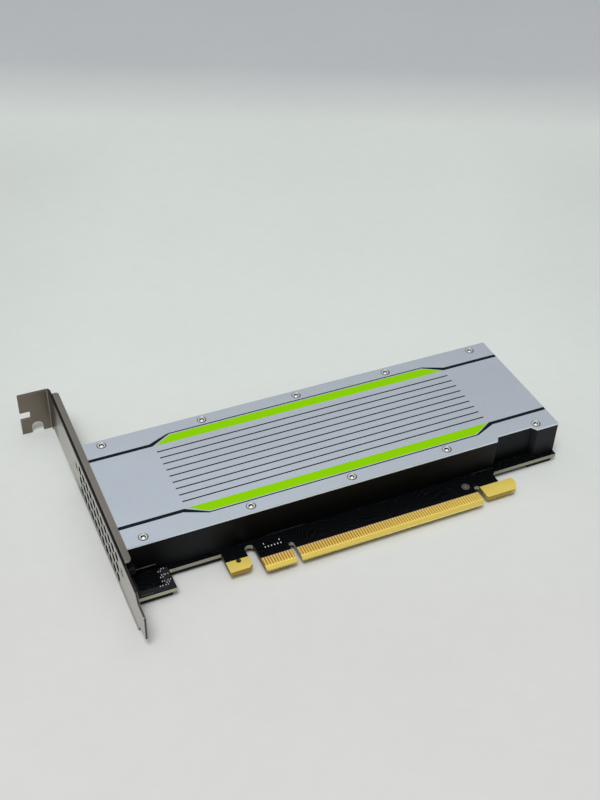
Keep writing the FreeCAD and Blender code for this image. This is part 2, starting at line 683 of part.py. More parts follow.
def heatsink_frame():
    """Cast frame: side walls, base plate, screw bosses, lugs for the bracket and clamp posts."""
    body = new_body("heatsink_frame")
    pad(body, "frame_block", front_outline("bracket_in"), "wall_top")
    outside = "bracket_in - slack"
    pocket(body, "air_channel", channel(outside, "board_right + slack"),
           "wall_top - base_top", level="wall_top")
    pocket(body, "component_space", channel(outside, "board_right - wall_thick"),
           "base_low", reverse=True)
    pocket(body, "end_opening", rectangle(outside, "base_left", "cover_front + wall_thick",
                                          "cover_rear - wall_thick"),
           "base_top - base_low + slack", level="base_top")
    half_x = "(spreader_length / 2 + spreader_gap)"
    half_y = "(spreader_width / 2 + spreader_gap)"
    pocket(body, "spreader_window",
           rectangle(f"processor_x - {half_x}", f"processor_x + {half_x}",
                     f"middle - {half_y}", f"middle + {half_y}"),
           "base_top - base_low + slack", level="base_top")
    coil_half = "(((phase_count - 1) * phase_pitch + coil_side) / 2 + spreader_gap)"
    pocket(body, "coil_window",
           rectangle("coil_x - coil_side / 2 - spreader_gap", "coil_x + coil_side / 2 + spreader_gap",
                     f"middle - {coil_half}", f"middle + {coil_half}"),
           "base_top - base_low + slack", level="base_top")
    pocket(body, "lifted_wall", rectangle(outside, "wall_lift_end", "cover_front - slack",
                                          "cover_front + wall_thick"),
           "wall_lift", reverse=True)
    round_pad(body, "screw_bosses", SCREW_PLACES, "boss_radius", "wall_top")
    round_pad(body, "clamp_posts", CLAMP_PLACES, "clamp_post_radius", "base_low")
    round_pad(body, "lugs", LUG_PLACES, "lug_radius", "lug_length", "YZ_Plane", "bracket_in")
    pad(body, "front_lug_web",
        rectangle("grille_mid - lug_spread", "cover_front + wall_thick",
                  "lug_level - lug_radius", "lug_level + lug_radius"),
        "lug_length", "YZ_Plane", "bracket_in")
    pad(body, "rear_lug_web",
        rectangle("grille_mid + lug_spread", "cover_rear - wall_thick / 2",
                  "lug_level - lug_radius", "lug_level + lug_radius"),
        "lug_length", "YZ_Plane", "bracket_in")
    thread = "screw_thread_radius + thread_clearance"
    round_pocket(body, "cover_screw_holes", SCREW_PLACES, thread, "screw_length + tip_gap",
                 level="wall_top")
    round_pocket(body, "back_screw_holes_frame", BACK_SCREW_PLACES, thread, "back_screw_length",
                 reverse=True)
    round_pocket(body, "clamp_screw_holes", CLAMP_PLACES, "clamp_thread_radius + thread_clearance",
                 "base_top + slack", level="-slack", reverse=True)
    round_pocket(body, "lug_holes", LUG_PLACES, "lug_thread_radius + thread_clearance",
                 "lug_screw_length", "YZ_Plane", "bracket_in", reverse=True)
    return body


def fin_stack():
    """Fins along the air flow, cut from one block with their base."""
    body = new_body("fin_stack")
    span = "((fin_count - 1) * fin_pitch + fin_thick)"
    front = f"middle - {span} / 2"
    pad(body, "fin_base", rectangle("fin_left", "fin_right", front, f"{front} + {span}"),
        "fin_base_thick", level="base_top")
    first = pad(body, "first_fin", rectangle("fin_left", "fin_right", front, f"{front} + fin_thick"),
                "wall_top - fin_gap - base_top - fin_base_thick",
                level="base_top + fin_base_thick")
    pattern = body.newObject("PartDesign::LinearPattern", "fins")
    pattern.Originals = [first]
    axis = [item for item in body.Origin.OriginFeatures if item.Role == "Y_Axis"][0]
    pattern.Direction = (axis, [""])
    bind(pattern, Length="(fin_count - 1) * fin_pitch", Occurrences="fin_count")
    body.Tip = pattern
    return body


def cover_plate():
    """Flat cover over the fins, with countersunk holes."""
    body = new_body("cover_blank")
    pad(body, "cover_outline", front_outline("cover_left"), "cover_thick", level="wall_top")
    sinks = [cone(f"cover_sink_{number}", x, y, "wall_top", "screw_thread_radius + head_clearance",
                  "screw_head_radius + head_clearance", "cover_thick")
             for number, (x, y) in enumerate(SCREW_PLACES)]
    return cut("cover_plate", body, group("cover_sinks", sinks))


def heat_spreader():
    """Copper block between the die and the fins' base."""
    return centred_block("heat_spreader", "processor_x", "middle", "die_pasted",
                         "spreader_length", "spreader_width", "base_top - die_pasted")


# --------------------------------------------------------------------------------------------------
# Fasteners, each made at its own origin with the head's outer face at Z 0 and the shank below it
# --------------------------------------------------------------------------------------------------
def socket_cut(name, solid):
    return cut(name, solid, hexagon(f"{name}_socket", "0", "0", "-socket_depth",
                                    "socket_radius", "socket_depth + slack"))


def countersunk_screw(name, thread, head, head_height, length):
    """A countersunk screw with a hexagon socket."""
    top = cone(f"{name}_head", "0", "0", f"-({head_height})", thread, head, head_height)
    shank = cylinder(f"{name}_shank", "0", "0", f"-({head_height}) - ({length})", thread, length)
    return socket_cut(name, fuse(f"{name}_blank", [top, shank]))


def flat_screw(name, thread, head, head_height, length):
    """A screw with a flat cylindrical head, made head downwards, with the shank above it."""
    top = cylinder(f"{name}_head", "0", "0", "0", head, head_height)
    shank = cylinder(f"{name}_shank", "0", "0", head_height, thread, length)
    socket = hexagon(f"{name}_socket", "0", "0", "-slack", "socket_radius", "socket_depth + slack")
    return cut(name, fuse(f"{name}_blank", [top, shank]), socket)


def cover_screws():
    screws = []
    for number, (x, y) in enumerate(SCREW_PLACES):
        screw = countersunk_screw(f"cover_screw_{number}", "screw_thread_radius",
                                  "screw_head_radius", "cover_thick - screw_sink", "screw_length")
        screws.append(bind(screw, x=x, y=y, z="cover_top - screw_sink"))
    return group("cover_screws", screws)


def bracket_screws():
    screws = []
    for number, (y, z) in enumerate(LUG_PLACES):
        screw = countersunk_screw(f"bracket_screw_{number}", "lug_thread_radius",
                                  "lug_head_radius", "sheet - screw_sink",
                                  "lug_screw_length - tip_gap")
        screws.append(bind(along_x(screw), x="bracket_out + screw_sink", y=y, z=z))
    return group("bracket_screws", screws)


def backplate_screws():
    screws = []
    for number, (x, y) in enumerate(BACK_SCREW_PLACES):
        screw = flat_screw(f"backplate_screw_{number}", "screw_thread_radius", "screw_head_radius",
                           "back_head_thick", "back_screw_length - tip_gap - (back_low)")
        screws.append(bind(screw, x=x, y=y, z="back_low - back_head_thick"))
    return group("backplate_screws", screws)


def clamp_screws():
    screws = []
    for number, (x, y) in enumerate(CLAMP_PLACES):
        screw = flat_screw(f"clamp_screw_{number}", "clamp_thread_radius", "clamp_head_radius",
                           "back_head_thick", "base_top - tip_gap + washer_thick - (back_low)")
        screws.append(bind(screw, x=x, y=y, z="back_low - washer_thick - back_head_thick"))
    return group("clamp_screws", screws)


def clamp_washers():
    washers = []
    for number, (x, y) in enumerate(CLAMP_PLACES):
        low = "back_low - washer_thick"
        disc = cylinder(f"washer_disc_{number}", x, y, low, "washer_radius", "washer_thick")
        hole = cylinder(f"washer_hole_{number}", x, y, f"{low} - slack",
                        "clamp_thread_radius + head_clearance", "washer_thick + 2 * slack")
        washers.append(cut(f"clamp_washer_{number}", disc, hole))
    return group("clamp_washers", washers)


# --------------------------------------------------------------------------------------------------
# Bracket, film and backplate
# --------------------------------------------------------------------------------------------------
def fillet(body, name, lines, radius):
    """Round the edges of the body's last feature that lie on one of some lines.

    A line is a pair of axis names and values, such as ("xy", 1.0, 2.0) for the line x = 1, y = 2.
    """
    tip = body.Tip
    doc.recompute()
    edges = [f"Edge{number}" for number, edge in enumerate(tip.Shape.Edges, start=1)
             if any(all(near(getattr(vertex.Point, axes[0]), first)
                        and near(getattr(vertex.Point, axes[1]), second)
                        for vertex in edge.Vertexes)
                    for axes, first, second in lines)]
    made = body.newObject("PartDesign::Fillet", name)
    made.Base = (tip, edges)
    return bind(made, Radius=radius)


def tongue_levels():
    """Heights of the tongue's two long edges: it lies in the middle of the plate."""
    middle = (size("bracket_low") + size("cover_top") + size("sheet")) / 2
    return [middle - size("tongue_width") / 2, middle + size("tongue_width") / 2]


def bracket():
    """Folded steel bracket: plate, tongue, tab with its slot, flange, grille and two screw holes."""
    body = new_body("bracket_blank")
    pad(body, "plate_and_tab", [
        ("bracket_out", "tongue_tip"),
        ("bracket_in", "tongue_tip"),
        ("bracket_in", "bracket_rear"),
        ("bracket_out - tab_length", "bracket_rear"),
        ("bracket_out - tab_length", "bracket_rear - sheet"),
        ("bracket_out", "bracket_rear - sheet"),
    ], "cover_top - tab_low", level="tab_low")
    outer_x = size("board_left") - size("bracket_step")
    inner_x = outer_x + size("sheet")
    rear = size("bracket_rear")
    fillet(body, "tab_bend_outside", [("xy", inner_x, rear)], "bend_radius")
    fillet(body, "tab_bend_inside", [("xy", outer_x, rear - size("sheet"))], "bend_radius - sheet")

    fold = "bracket_rear - bend_radius - slack"
    through_plate = ("sheet + 2 * slack", "YZ_Plane", "bracket_out - slack", True)
    tongue_low = "((bracket_low + cover_top + sheet - tongue_width) / 2)"
    tongue_high = "((bracket_low + cover_top + sheet + tongue_width) / 2)"
    pocket(body, "plate_low_edge",
           rectangle("tongue_tip - slack", fold, "tab_low - slack", "bracket_low"), *through_plate)
    pocket(body, "low_shoulder", [
        ("tongue_tip - slack", "tab_low"),
        ("shoulder_start", "tab_low"),
        ("shoulder_start", "bracket_low"),
        ("tongue_start", tongue_low),
        ("tongue_tip - slack", tongue_low),
    ], *through_plate)
    pocket(body, "high_shoulder", [
        ("tongue_tip - slack", "cover_top + slack"),
        ("shoulder_start", "cover_top + slack"),
        ("shoulder_start", "cover_top"),
        ("tongue_start", tongue_high),
        ("tongue_tip - slack", tongue_high),
    ], *through_plate)
    fillet(body, "tongue_corners", [("yz", rear - size("bracket_height"), level)
                                    for level in tongue_levels()], "tongue_round")
    pocket(body, "tab_high_edge",
           rectangle(fold, "bracket_rear + slack", "tab_high", "cover_top + slack"),
           "tab_length + sheet + 2 * slack", "YZ_Plane", "bracket_out - tab_length - slack", True)

    through_tab = ("sheet + 2 * slack", "XZ_Plane", "-bracket_rear - slack", True)
    slot_x = "(bracket_out - slot_reach)"
    pocket(body, "tab_notch",
           rectangle("bracket_out - tab_length - slack", "bracket_out - tab_length + tab_notch_depth",
                     "tab_notch_low", "tab_notch_high"), *through_tab)
    pocket(body, "screw_slot",
           rectangle(f"{slot_x} - slot_width / 2", f"{slot_x} + slot_width / 2",
                     "tab_low - slack", "slot_centre"), *through_tab)
    round_pocket(body, "screw_slot_end", [(slot_x, "slot_centre")], "slot_width / 2", *through_tab)

    pad(body, "flange", rectangle("bracket_out", "bracket_out + flange_depth",
                                  "cover_top", "bracket_top"),
        "flange_end - flange_start", "XZ_Plane", "-flange_start", True)
    top = size("cover_top") + size("sheet")
    tip_x = outer_x + size("flange_depth")
    fillet(body, "flange_bend", [("xz", outer_x, top)], "bend_radius")
    fillet(body, "flange_corners", [("xy", tip_x, size(end_name))
                                    for end_name in ("flange_start", "flange_end")], "flange_round")

    columns, rows = int(size("grille_columns")), int(size("grille_rows"))
    openings = [bind(along_x(hexagon(f"grille_{column}_{row}", "0", "0", "0", "grille_radius",
                                     "sheet + 2 * slack")),
                     x="bracket_in + slack",
                     y=f"grille_mid + ({column} - (grille_columns - 1) / 2) * grille_pitch_y",
                     z=f"grille_low + {row} * grille_pitch_z")
                for column in range(columns) for row in range(rows)]
    sinks = [bind(along_x(cone(f"lug_sink_{number}", "0", "0", "0",
                               "lug_thread_radius + head_clearance",
                               "lug_head_radius + head_clearance", "sheet")),
                  x="bracket_in", y=y, z=z)
             for number, (y, z) in enumerate(LUG_PLACES)]
    return cut("bracket", body, group("bracket_openings", openings + sinks))


def back_outline():
    """Outline of the backplate and its film, set back behind the connector."""
    left, right = "board_left + backplate_side_inset", "board_right - backplate_side_inset"
    foot_end, front = "foot_right - backplate_side_inset", "shelf_front + backplate_inset"
    foot, rear = "foot_front + backplate_inset", "board_rear - backplate_inset"
    return [
        (left, foot),
        (foot_end, foot),
        (foot_end, front),
        ("guide_left", front),
        ("guide_left", "backplate_setback"),
        ("backplate_tail", "backplate_setback"),
        ("backplate_tail", front),
        (right, front),
        (right, rear),
        (left, rear),
    ]


def back_sheet(label, low, thick):
    """A flat sheet under the board with its screw holes."""
    body = new_body(label)
    pad(body, f"{label}_outline", back_outline(), thick, level=low)
    top = f"{low} + {thick}"
    round_pocket(body, f"{label}_screw_holes", BACK_SCREW_PLACES,
                 "screw_thread_radius + head_clearance", thick, level=top)
    round_pocket(body, f"{label}_clamp_holes", CLAMP_PLACES,
                 "clamp_thread_radius + head_clearance", thick, level=top)
    return body


# --------------------------------------------------------------------------------------------------
# Processor, memory and power supply, under the frame
# --------------------------------------------------------------------------------------------------
def processor():
    """Substrate, stiffener, die and paste, one on the other."""
    centre = ("processor_x", "middle")
    substrate = centred_block("processor_substrate", *centre, "0",
                              "substrate_side", "substrate_side", "substrate_thick")
    inside = "substrate_side - 2 * stiffener_width"
    stiffener = cut("stiffener_frame",
                    centred_block("stiffener_plate", *centre, "substrate_thick",
                                  "substrate_side", "substrate_side", "stiffener_thick"),
                    centred_block("stiffener_window", *centre, "substrate_thick - slack",
                                  inside, inside, "stiffener_thick + 2 * slack"))
    die = centred_block("processor_die", *centre, "substrate_thick",
                        "die_length", "die_width", "die_thick")
    paste = centred_block("thermal_paste", *centre, "substrate_thick + die_thick",
                          "die_length", "die_width", "paste_thick")
    return [substrate, stiffener, die, paste]


def repeated(label, places, low, length, width, height):
    """Like blocks at several places, as separate solids of one node."""
    return group(label, [centred_block(f"{label}_{number}", x, y, low, length, width, height)
                         for number, (x, y) in enumerate(places)])


def memory():
    """Two columns of two memory chips on each side of the processor, with their thermal pads."""
    places = [(f"memory_x_{column}", f"middle + {row} * memory_pitch_y / 2")
              for column in (1, 2, 3, 4) for row in (-1, 1)]
    chips = repeated("memory_chips", places, "0", "memory_length", "memory_width", "memory_thick")
    pads = repeated("memory_pads", places, "memory_thick", "memory_length", "memory_width",
                    "base_low - memory_thick")
    return [chips, pads]


def power_supply():
    """One inductor, power stage and reservoir capacitor for each phase, with thermal pads."""
    rows = [f"middle + ({phase} - (phase_count - 1) / 2) * phase_pitch"
            for phase in range(int(size("phase_count")))]
    coils = [("coil_x", row) for row in rows]
    stages = [("stage_x", row) for row in rows]
    reservoirs = [("reservoir_x", row) for row in rows]
    return [
        repeated("inductors", coils, "0", "coil_side", "coil_side", "coil_height"),
        repeated("inductor_pads", coils, "coil_height", "coil_side", "coil_side",
                 "base_top - coil_height"),
        repeated("power_stages", stages, "0", "stage_length", "stage_width", "stage_thick"),
        repeated("power_stage_pads", stages, "stage_thick", "stage_length", "stage_width",
                 "base_low - stage_thick"),
        repeated("reservoir_capacitors", reservoirs, "0", "reservoir_length", "reservoir_width",
                 "reservoir_height"),
    ]


def service_chips():
    """Control chip, firmware chip with its leads, and crystal, beside the bracket."""
    controller = centred_block("control_chip", "service_x", "middle + service_spread", "0",
                               "controller_side", "controller_side", "controller_thick")
    firmware_y = "(middle - service_spread)"
    firmware = centred_block("firmware_chip", "service_x", firmware_y, "0",
                             "firmware_length", "firmware_width", "firmware_height")
    lead_places = [(f"service_x + ({step} - (lead_count - 1) / 2) * lead_pitch",
                    f"{firmware_y} + {side} * (firmware_width + lead_reach) / 2")
                   for step in range(int(size("lead_count"))) for side in (-1, 1)]
    leads = repeated("firmware_chip_leads", lead_places, "0", "lead_width", "lead_reach",
                     "lead_thick")
    crystal = centred_block("clock_crystal", "service_x", "middle", "0",
                            "crystal_length", "crystal_width", "crystal_height")
    return [controller, firmware, leads, crystal]


# --------------------------------------------------------------------------------------------------
# Small parts and marks on the open strip in front of the heatsink
# --------------------------------------------------------------------------------------------------
CHIP_SPOTS = [(0, 0), (3, 0), (4, 1), (2, 2), (5, 2), (2, 4), (3, 5), (5, 5), (2, 7), (4, 8)]


def foot_parts():
    """Small chips with tinned ends, and a row of test pads, on the foot beside the bracket."""
    places = [(f"chip_left + {column} * chip_step_x", f"chip_front + {row} * chip_step_y")
              for column, row in CHIP_SPOTS]
    chips = repeated("foot_chips", places, "0", "chip_length", "chip_width", "chip_height")
    ends = [(f"{x} + {side} * (chip_length + terminal_length) / 2", y)
            for x, y in places for side in (-1, 1)]
    terminals = repeated("foot_chip_terminals", ends, "0", "terminal_length", "chip_width",
                         "chip_height")
    pads = group("test_pads", [block(f"test_pad_{step}", f"test_pad_left + {step} * test_pad_pitch",
                                     "test_pad_front", "0", "test_pad_side", "test_pad_side",
                                     "plating_thick")
                               for step in range(int(size("test_pad_count")))])
    return [chips, terminals, pads]


def board_marks():
    """Short printed bars that mark component places, in two rows."""
    front = [(f"mark_left + {step} * mark_pitch", "mark_front")
             for step in range(int(size("mark_count")))]
    rear = [(f"mark_left + {step} * mark_pitch", "mark_front + mark_step")
            for step in (0, int(size("mark_count")) - 1)]
    return group("board_marks", [block(f"board_mark_{number}", x, y, "0", "mark_width",
                                       "mark_length", "print_thick")
                                 for number, (x, y) in enumerate(front + rear)])


# --------------------------------------------------------------------------------------------------
# Print on the cover: two bands that turn into thin lines, two stripes and a field of fine lines
# --------------------------------------------------------------------------------------------------
def dark_band(name, side):
    """A band that runs in from both ends, turns outwards and thins along the stripe."""
    def across(distance):
        return f"middle + {side} * ({distance})"

    left = "bracket_out + flange_depth + print_gap"
    right = "board_right - print_gap"
    inner, outer = across("band_half - band_width / 2"), across("band_half + band_width / 2")
    rule_in, rule_out = across("rule_half - rule_width / 2"), across("rule_half + rule_width / 2")
    return layer(name, [
        (left, inner),
        ("print_left + band_turn", inner),
        ("rule_left + band_turn / 2", rule_in),
        ("rule_right - band_turn / 2", rule_in),
        ("print_right - band_turn", inner),
        (right, inner),
        (right, outer),
        ("print_right", outer),
        ("rule_right", rule_out),
        ("rule_left", rule_out),
        ("print_left", outer),
        (left, outer),
    ], "cover_top", "print_thick")


def stripe(name, side):
    """A stripe whose ends are cut back towards its outer edge."""
    inner, outer = f"middle + {side} * stripe_inner", f"middle + {side} * stripe_outer"
    return layer(name, [
        ("stripe_tip_left", inner),
        ("stripe_tip_right", inner),
        ("rule_right - band_turn / 2", outer),
        ("rule_left + band_turn / 2", outer),
    ], "cover_top", "print_thick")


def cover_print():
    bands = group("dark_bands", [dark_band("rear_band", 1), dark_band("front_band", -1)])
    stripes = group("green_stripes", [stripe("rear_stripe", 1), stripe("front_stripe", -1)])
    lines = [block(f"fine_line_{number}", "line_left",
                   f"middle + ({number} - (line_count - 1) / 2) * line_pitch - line_width / 2",
                   "cover_top", "line_right - line_left", "line_width", "print_thick")
             for number in range(int(size("line_count")))]
    return [bands, stripes, group("fine_lines", lines)]


# --------------------------------------------------------------------------------------------------
# The whole card, checked and written out
# --------------------------------------------------------------------------------------------------
NODES = [
    circuit_board(),
    edge_contacts("edge_contacts_top", "0"),
    edge_contacts("edge_contacts_bottom", "-board_thick - plating_thick"),
    both_faces("guide_plating", guide_plating),
    both_faces("hook_plating", hook_plating),
    both_faces("ground_ring", ground_ring),
    heatsink_frame(),
    fin_stack(),
    heat_spreader(),
    cover_plate(),
    cover_screws(),
    bracket(),
    bracket_screws(),
    back_sheet("insulating_film", "film_low", "film_thick"),
    back_sheet("backplate", "back_low", "backplate_thick"),
    backplate_screws(),
    clamp_screws(),
    clamp_washers(),
    *processor(),
    *memory(),
    *power_supply(),
    *service_chips(),
    *foot_parts(),
    board_marks(),
    *cover_print(),
]

doc.recompute()
failed = [item.Name for item in doc.Objects
          if "Invalid" in item.State or "Error" in item.State]
if failed:
    raise RuntimeError(f"objects that did not build: {failed}")
for node in NODES:
    if node.Shape.isNull() or not node.Shape.isValid():
        raise RuntimeError(f"{node.Label} has no valid shape")

os.makedirs("parts", exist_ok=True)
for node in NODES:
    node.Shape.exportStep(f"parts/{node.Label}.step")
    print(node.Label, len(node.Shape.Solids), round(node.Shape.Volume, 3))
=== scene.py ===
"""Passive accelerator card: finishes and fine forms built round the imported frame.

All lengths are in metres in the frame's own axes: X along the board towards the tail, Y from the edge
connector towards the rear edge, Z from the board towards the cover plate.
"""
import math

import bmesh
import bpy
import numpy as np
from mathutils import Matrix, Vector


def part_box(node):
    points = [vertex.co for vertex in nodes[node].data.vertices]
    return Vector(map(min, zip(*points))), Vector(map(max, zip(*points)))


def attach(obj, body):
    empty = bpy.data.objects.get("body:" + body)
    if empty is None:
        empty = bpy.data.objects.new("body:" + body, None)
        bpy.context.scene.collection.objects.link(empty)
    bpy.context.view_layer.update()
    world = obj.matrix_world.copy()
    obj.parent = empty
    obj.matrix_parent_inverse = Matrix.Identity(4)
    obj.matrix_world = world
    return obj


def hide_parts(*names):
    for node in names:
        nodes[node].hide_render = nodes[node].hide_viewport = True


bl_info = {
    "name": "Passive accelerator card",
    "version": (1, 0, 0),
    "blender": (4, 5, 0),
    "location": "3D View > Sidebar > Card",
    "description": "Dresses the packed frame of a passive accelerator card",
    "category": "Object",
}

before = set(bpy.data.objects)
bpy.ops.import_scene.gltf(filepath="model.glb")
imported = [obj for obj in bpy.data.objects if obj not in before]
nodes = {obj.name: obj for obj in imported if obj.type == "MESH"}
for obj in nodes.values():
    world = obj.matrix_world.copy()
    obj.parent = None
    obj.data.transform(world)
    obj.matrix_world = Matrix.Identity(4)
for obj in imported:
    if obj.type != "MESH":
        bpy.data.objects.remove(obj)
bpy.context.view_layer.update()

MM = 0.001
BODY = "root"
DOUBLED = 1e-7  # points nearer than this are one, in metres

# In millimetres, for the finishes: the contacts' pitch, the thickness of the bracket's sheet, and how
# deep its screw heads are sunk
CONTACT_PITCH = 1.0
SHEET = 0.86
SCREW_SINK = 0.05

BLACK = (0.0, 0.0, 0.0)
WHITE = (1.0, 1.0, 1.0)


# --------------------------------------------------------------------------------------------------
# Sizes and colours a user would change
# --------------------------------------------------------------------------------------------------
def colour(name, description, default):
    """A linear colour property."""
    return bpy.props.FloatVectorProperty(name=name, description=description, default=default,
                                         subtype="COLOR", size=3, min=0.0, max=1.0)


def length(name, description, millimetres):
    """A length property, given in millimetres and kept in metres."""
    return bpy.props.FloatProperty(name=name, description=description, default=millimetres * MM,
                                   unit="LENGTH", min=0.0)


class CardColours(bpy.types.PropertyGroup):
    """Colours of the card's finishes."""

    cover: colour("Cover paint", "Satin metallic paint of the cover plate", (0.70, 0.78, 0.87))
    stripe: colour("Stripe ink", "Bright stripes on the cover", (0.24, 0.57, 0.001))
    band: colour("Band ink", "Dark bands and fine lines on the cover", (0.008, 0.013, 0.017))
    anodised: colour("Heatsink", "Black anodised metal", (0.0011, 0.0011, 0.0012))
    steel: colour("Bracket steel", "Dull plated sheet steel", (0.47, 0.45, 0.42))
    gold: colour("Gold plating", "Plated contacts and tabs", (1.0, 0.77, 0.17))
    # a dark brown, used as painted shade on the sides of the plated hook and guide, and as the tone of the
    # tongue's side
    edge_brown: colour("Tarnish", "Dull brown film on plated edges", (0.26, 0.17, 0.045))
    mask: colour("Solder mask", "Coating of the circuit board", (0.0018, 0.0022, 0.0026))
    laminate: colour("Laminate", "Bare edge of the circuit board", (0.36, 0.35, 0.27))
    screw: colour("Screw steel", "Plated screws", (0.76, 0.78, 0.75))
    tin: colour("Tin", "Tinned rings and terminals", (0.13, 0.125, 0.12))


class CardForms(bpy.types.PropertyGroup):
    """Sizes of the fine forms."""

    sheet_edge: length("Sheet edges", "Rounding of punched sheet edges", 0.10)
    cast_edge: length("Cast edges", "Rounding of the heatsink frame's edges", 0.18)
    socket: length("Socket", "Corner radius of a screw's hexagon socket", 0.95)
    socket_depth: length("Socket depth", "Depth of a screw's socket", 0.60)
    # width of the gap round a cover screw where the cover paint carries painted shade
    groove: length("Groove", "Width of the dark gap round a cover screw", 0.18)


class CardStage(bpy.types.PropertyGroup):
    """Camera, floor and light."""

    eye: bpy.props.FloatVectorProperty(
        name="Camera place", description="Where the camera stands", subtype="TRANSLATION", size=3,
        default=(-0.11309, -0.23462, 0.28272))
    aim: bpy.props.FloatVectorProperty(
        name="Camera direction", description="Where the camera looks", subtype="DIRECTION", size=3,
        default=(0.33010, 0.69940, -0.63390))
    roll: bpy.props.FloatProperty(
        name="Camera roll", description="Turn about the line of sight", subtype="ANGLE",
        default=math.radians(2.10))
    lens: bpy.props.FloatProperty(
        name="Lens", description="Focal length in millimetres", default=50.97, min=10.0)
    floor: colour("Floor", "Pale floor in front of the card", (0.665, 0.665, 0.655))
    ground: colour("Ground", "Pale floor behind the card", (0.69, 0.735, 0.705))
    wall: colour("Backdrop", "Greyer ground far behind the card", (0.53, 0.55, 0.57))
    sky: bpy.props.FloatProperty(
        name="Sky", description="Strength of the sky straight overhead", default=1.1, min=0.0)
    key: bpy.props.FloatProperty(
        name="Key light", description="Power of the soft lamp", default=22.0, unit="POWER", min=0.0)
    lamp: bpy.props.FloatVectorProperty(
        name="Lamp place", description="Where the soft lamp hangs", subtype="TRANSLATION", size=3,
        default=(-0.45, -0.55, 1.75))
    lamp_size: length("Lamp size", "Side of the soft lamp's square", 700.0)


# --------------------------------------------------------------------------------------------------
# Meshes
# --------------------------------------------------------------------------------------------------
def link(name, mesh):
    """Put a mesh into the scene as an object at the origin."""
    made = bpy.data.objects.new(name, mesh)
    bpy.context.scene.collection.objects.link(made)
    return made


def patch(rows, columns, close_columns=False):
    """Quads of a grid with rows x columns points, its columns wrapped round if they close."""
    column = np.arange(columns if close_columns else columns - 1)
    row, column = np.meshgrid(np.arange(rows - 1), column, indexing="ij")
    below, beside = row + 1, (column + 1) % columns
    corners = [row * columns + column, row * columns + beside,
               below * columns + beside, below * columns + column]
    return np.stack(corners, axis=-1).reshape(-1, 4)


def copies(name, points, faces, places, shade=None):
    """One mesh of a shape repeated at many places; places holds a 4 x 4 matrix each.

    shade gives every point a number from -1 to 1, kept as an attribute that a finish can read, for painted
    shade above 0 and a painted glint below 0.
    """
    places = np.asarray(places, float)
    solid = np.concatenate([points, np.ones((len(points), 1))], axis=1)
    spread = np.einsum("kij,pj->kpi", places, solid)[..., :3]
    offsets = np.arange(len(places))[:, None, None] * len(points)
    mesh = bpy.data.meshes.new(name)
    mesh.from_pydata(spread.reshape(-1, 3).tolist(), [],
                     (faces[None] + offsets).reshape(-1, faces.shape[1]).tolist())
    mesh.polygons.foreach_set("use_smooth", np.ones(len(mesh.polygons), bool))
    if shade is not None:
        kept = mesh.attributes.new("shade", "FLOAT", "POINT")
        kept.data.foreach_set("value", np.tile(shade, len(places)).astype(np.float32))
    return link(name, mesh)


def weld(piece):
    """Merge doubled points, which closes poles and seams, and turn all faces outwards."""
    work = bmesh.new()
    work.from_mesh(piece.data)
    bmesh.ops.remove_doubles(work, verts=work.verts, dist=DOUBLED)
    bmesh.ops.recalc_face_normals(work, faces=work.faces)
    work.to_mesh(piece.data)
    work.free()


def turned(profile, sides):
    """A turned part: point(j, i) = (r cos a, r sin a, h) for profile point j and angle a = 2 pi i / sides.

    A profile point is (radius, height, hexagon). Where hexagon is 1, the radius follows a hexagon:
    r = R cos 30 / cos(a mod 60 - 30), and values between 0 and 1 go between circle and hexagon.
    """
    profile = np.asarray(profile, float)
    angle = np.linspace(0.0, 2.0 * math.pi, sides, endpoint=False)
    sector = np.mod(angle, math.pi / 3.0) - math.pi / 6.0
    flat = math.cos(math.pi / 6.0) / np.cos(sector)
    radius = profile[:, :1] * (1.0 + profile[:, 2:3] * (flat - 1.0))
    points = np.stack([radius * np.cos(angle), radius * np.sin(angle),
                       np.broadcast_to(profile[:, 1:2], radius.shape)], axis=-1)
    return points.reshape(-1, 3), patch(len(profile), sides, close_columns=True)


def pillow(sizes, across=16, along=8, plan=0.22, section=0.45):
    """A block with rounded edges, as a superellipsoid of half sizes a, b, c:

    x = a cos(v)^s cos(u)^p, y = b cos(v)^s sin(u)^p, z = c sin(v)^s, where ^ keeps the sign,
    u goes once round, v from pole to pole, p rounds the plan and s the section.
    """
    turn = np.linspace(0.0, 2.0 * math.pi, across, endpoint=False) + math.pi / across
    rise = np.linspace(-math.pi / 2.0, math.pi / 2.0, along)
    rise, turn = np.meshgrid(rise, turn, indexing="ij")

    def power(value, exponent):
        """A power that keeps the value's sign."""
        return np.sign(value) * np.abs(value) ** exponent

    ring = power(np.cos(rise), section)
    points = np.stack([ring * power(np.cos(turn), plan), ring * power(np.sin(turn), plan),
                       power(np.sin(rise), section)], axis=-1)
    return points.reshape(-1, 3) * np.asarray(sizes) / 2.0, patch(along, across, close_columns=True)


def solids_of(node):
    """Lowest and highest corners of every separate solid of a CAD node, as two arrays."""
    work = bmesh.new()
    work.from_mesh(nodes[node].data)
    bmesh.ops.remove_doubles(work, verts=work.verts, dist=DOUBLED)
    work.verts.ensure_lookup_table()
    waiting, lows, highs = set(work.verts), [], []
    while waiting:
        island, edge = [], [waiting.pop()]
        while edge:
            vertex = edge.pop()
            island.append(vertex.co[:])
            for line in vertex.link_edges:
                other = line.other_vert(vertex)
                if other in waiting:
                    waiting.remove(other)
                    edge.append(other)
        island = np.array(island)
        lows.append(island.min(axis=0))
        highs.append(island.max(axis=0))
    work.free()
    return np.array(lows), np.array(highs)


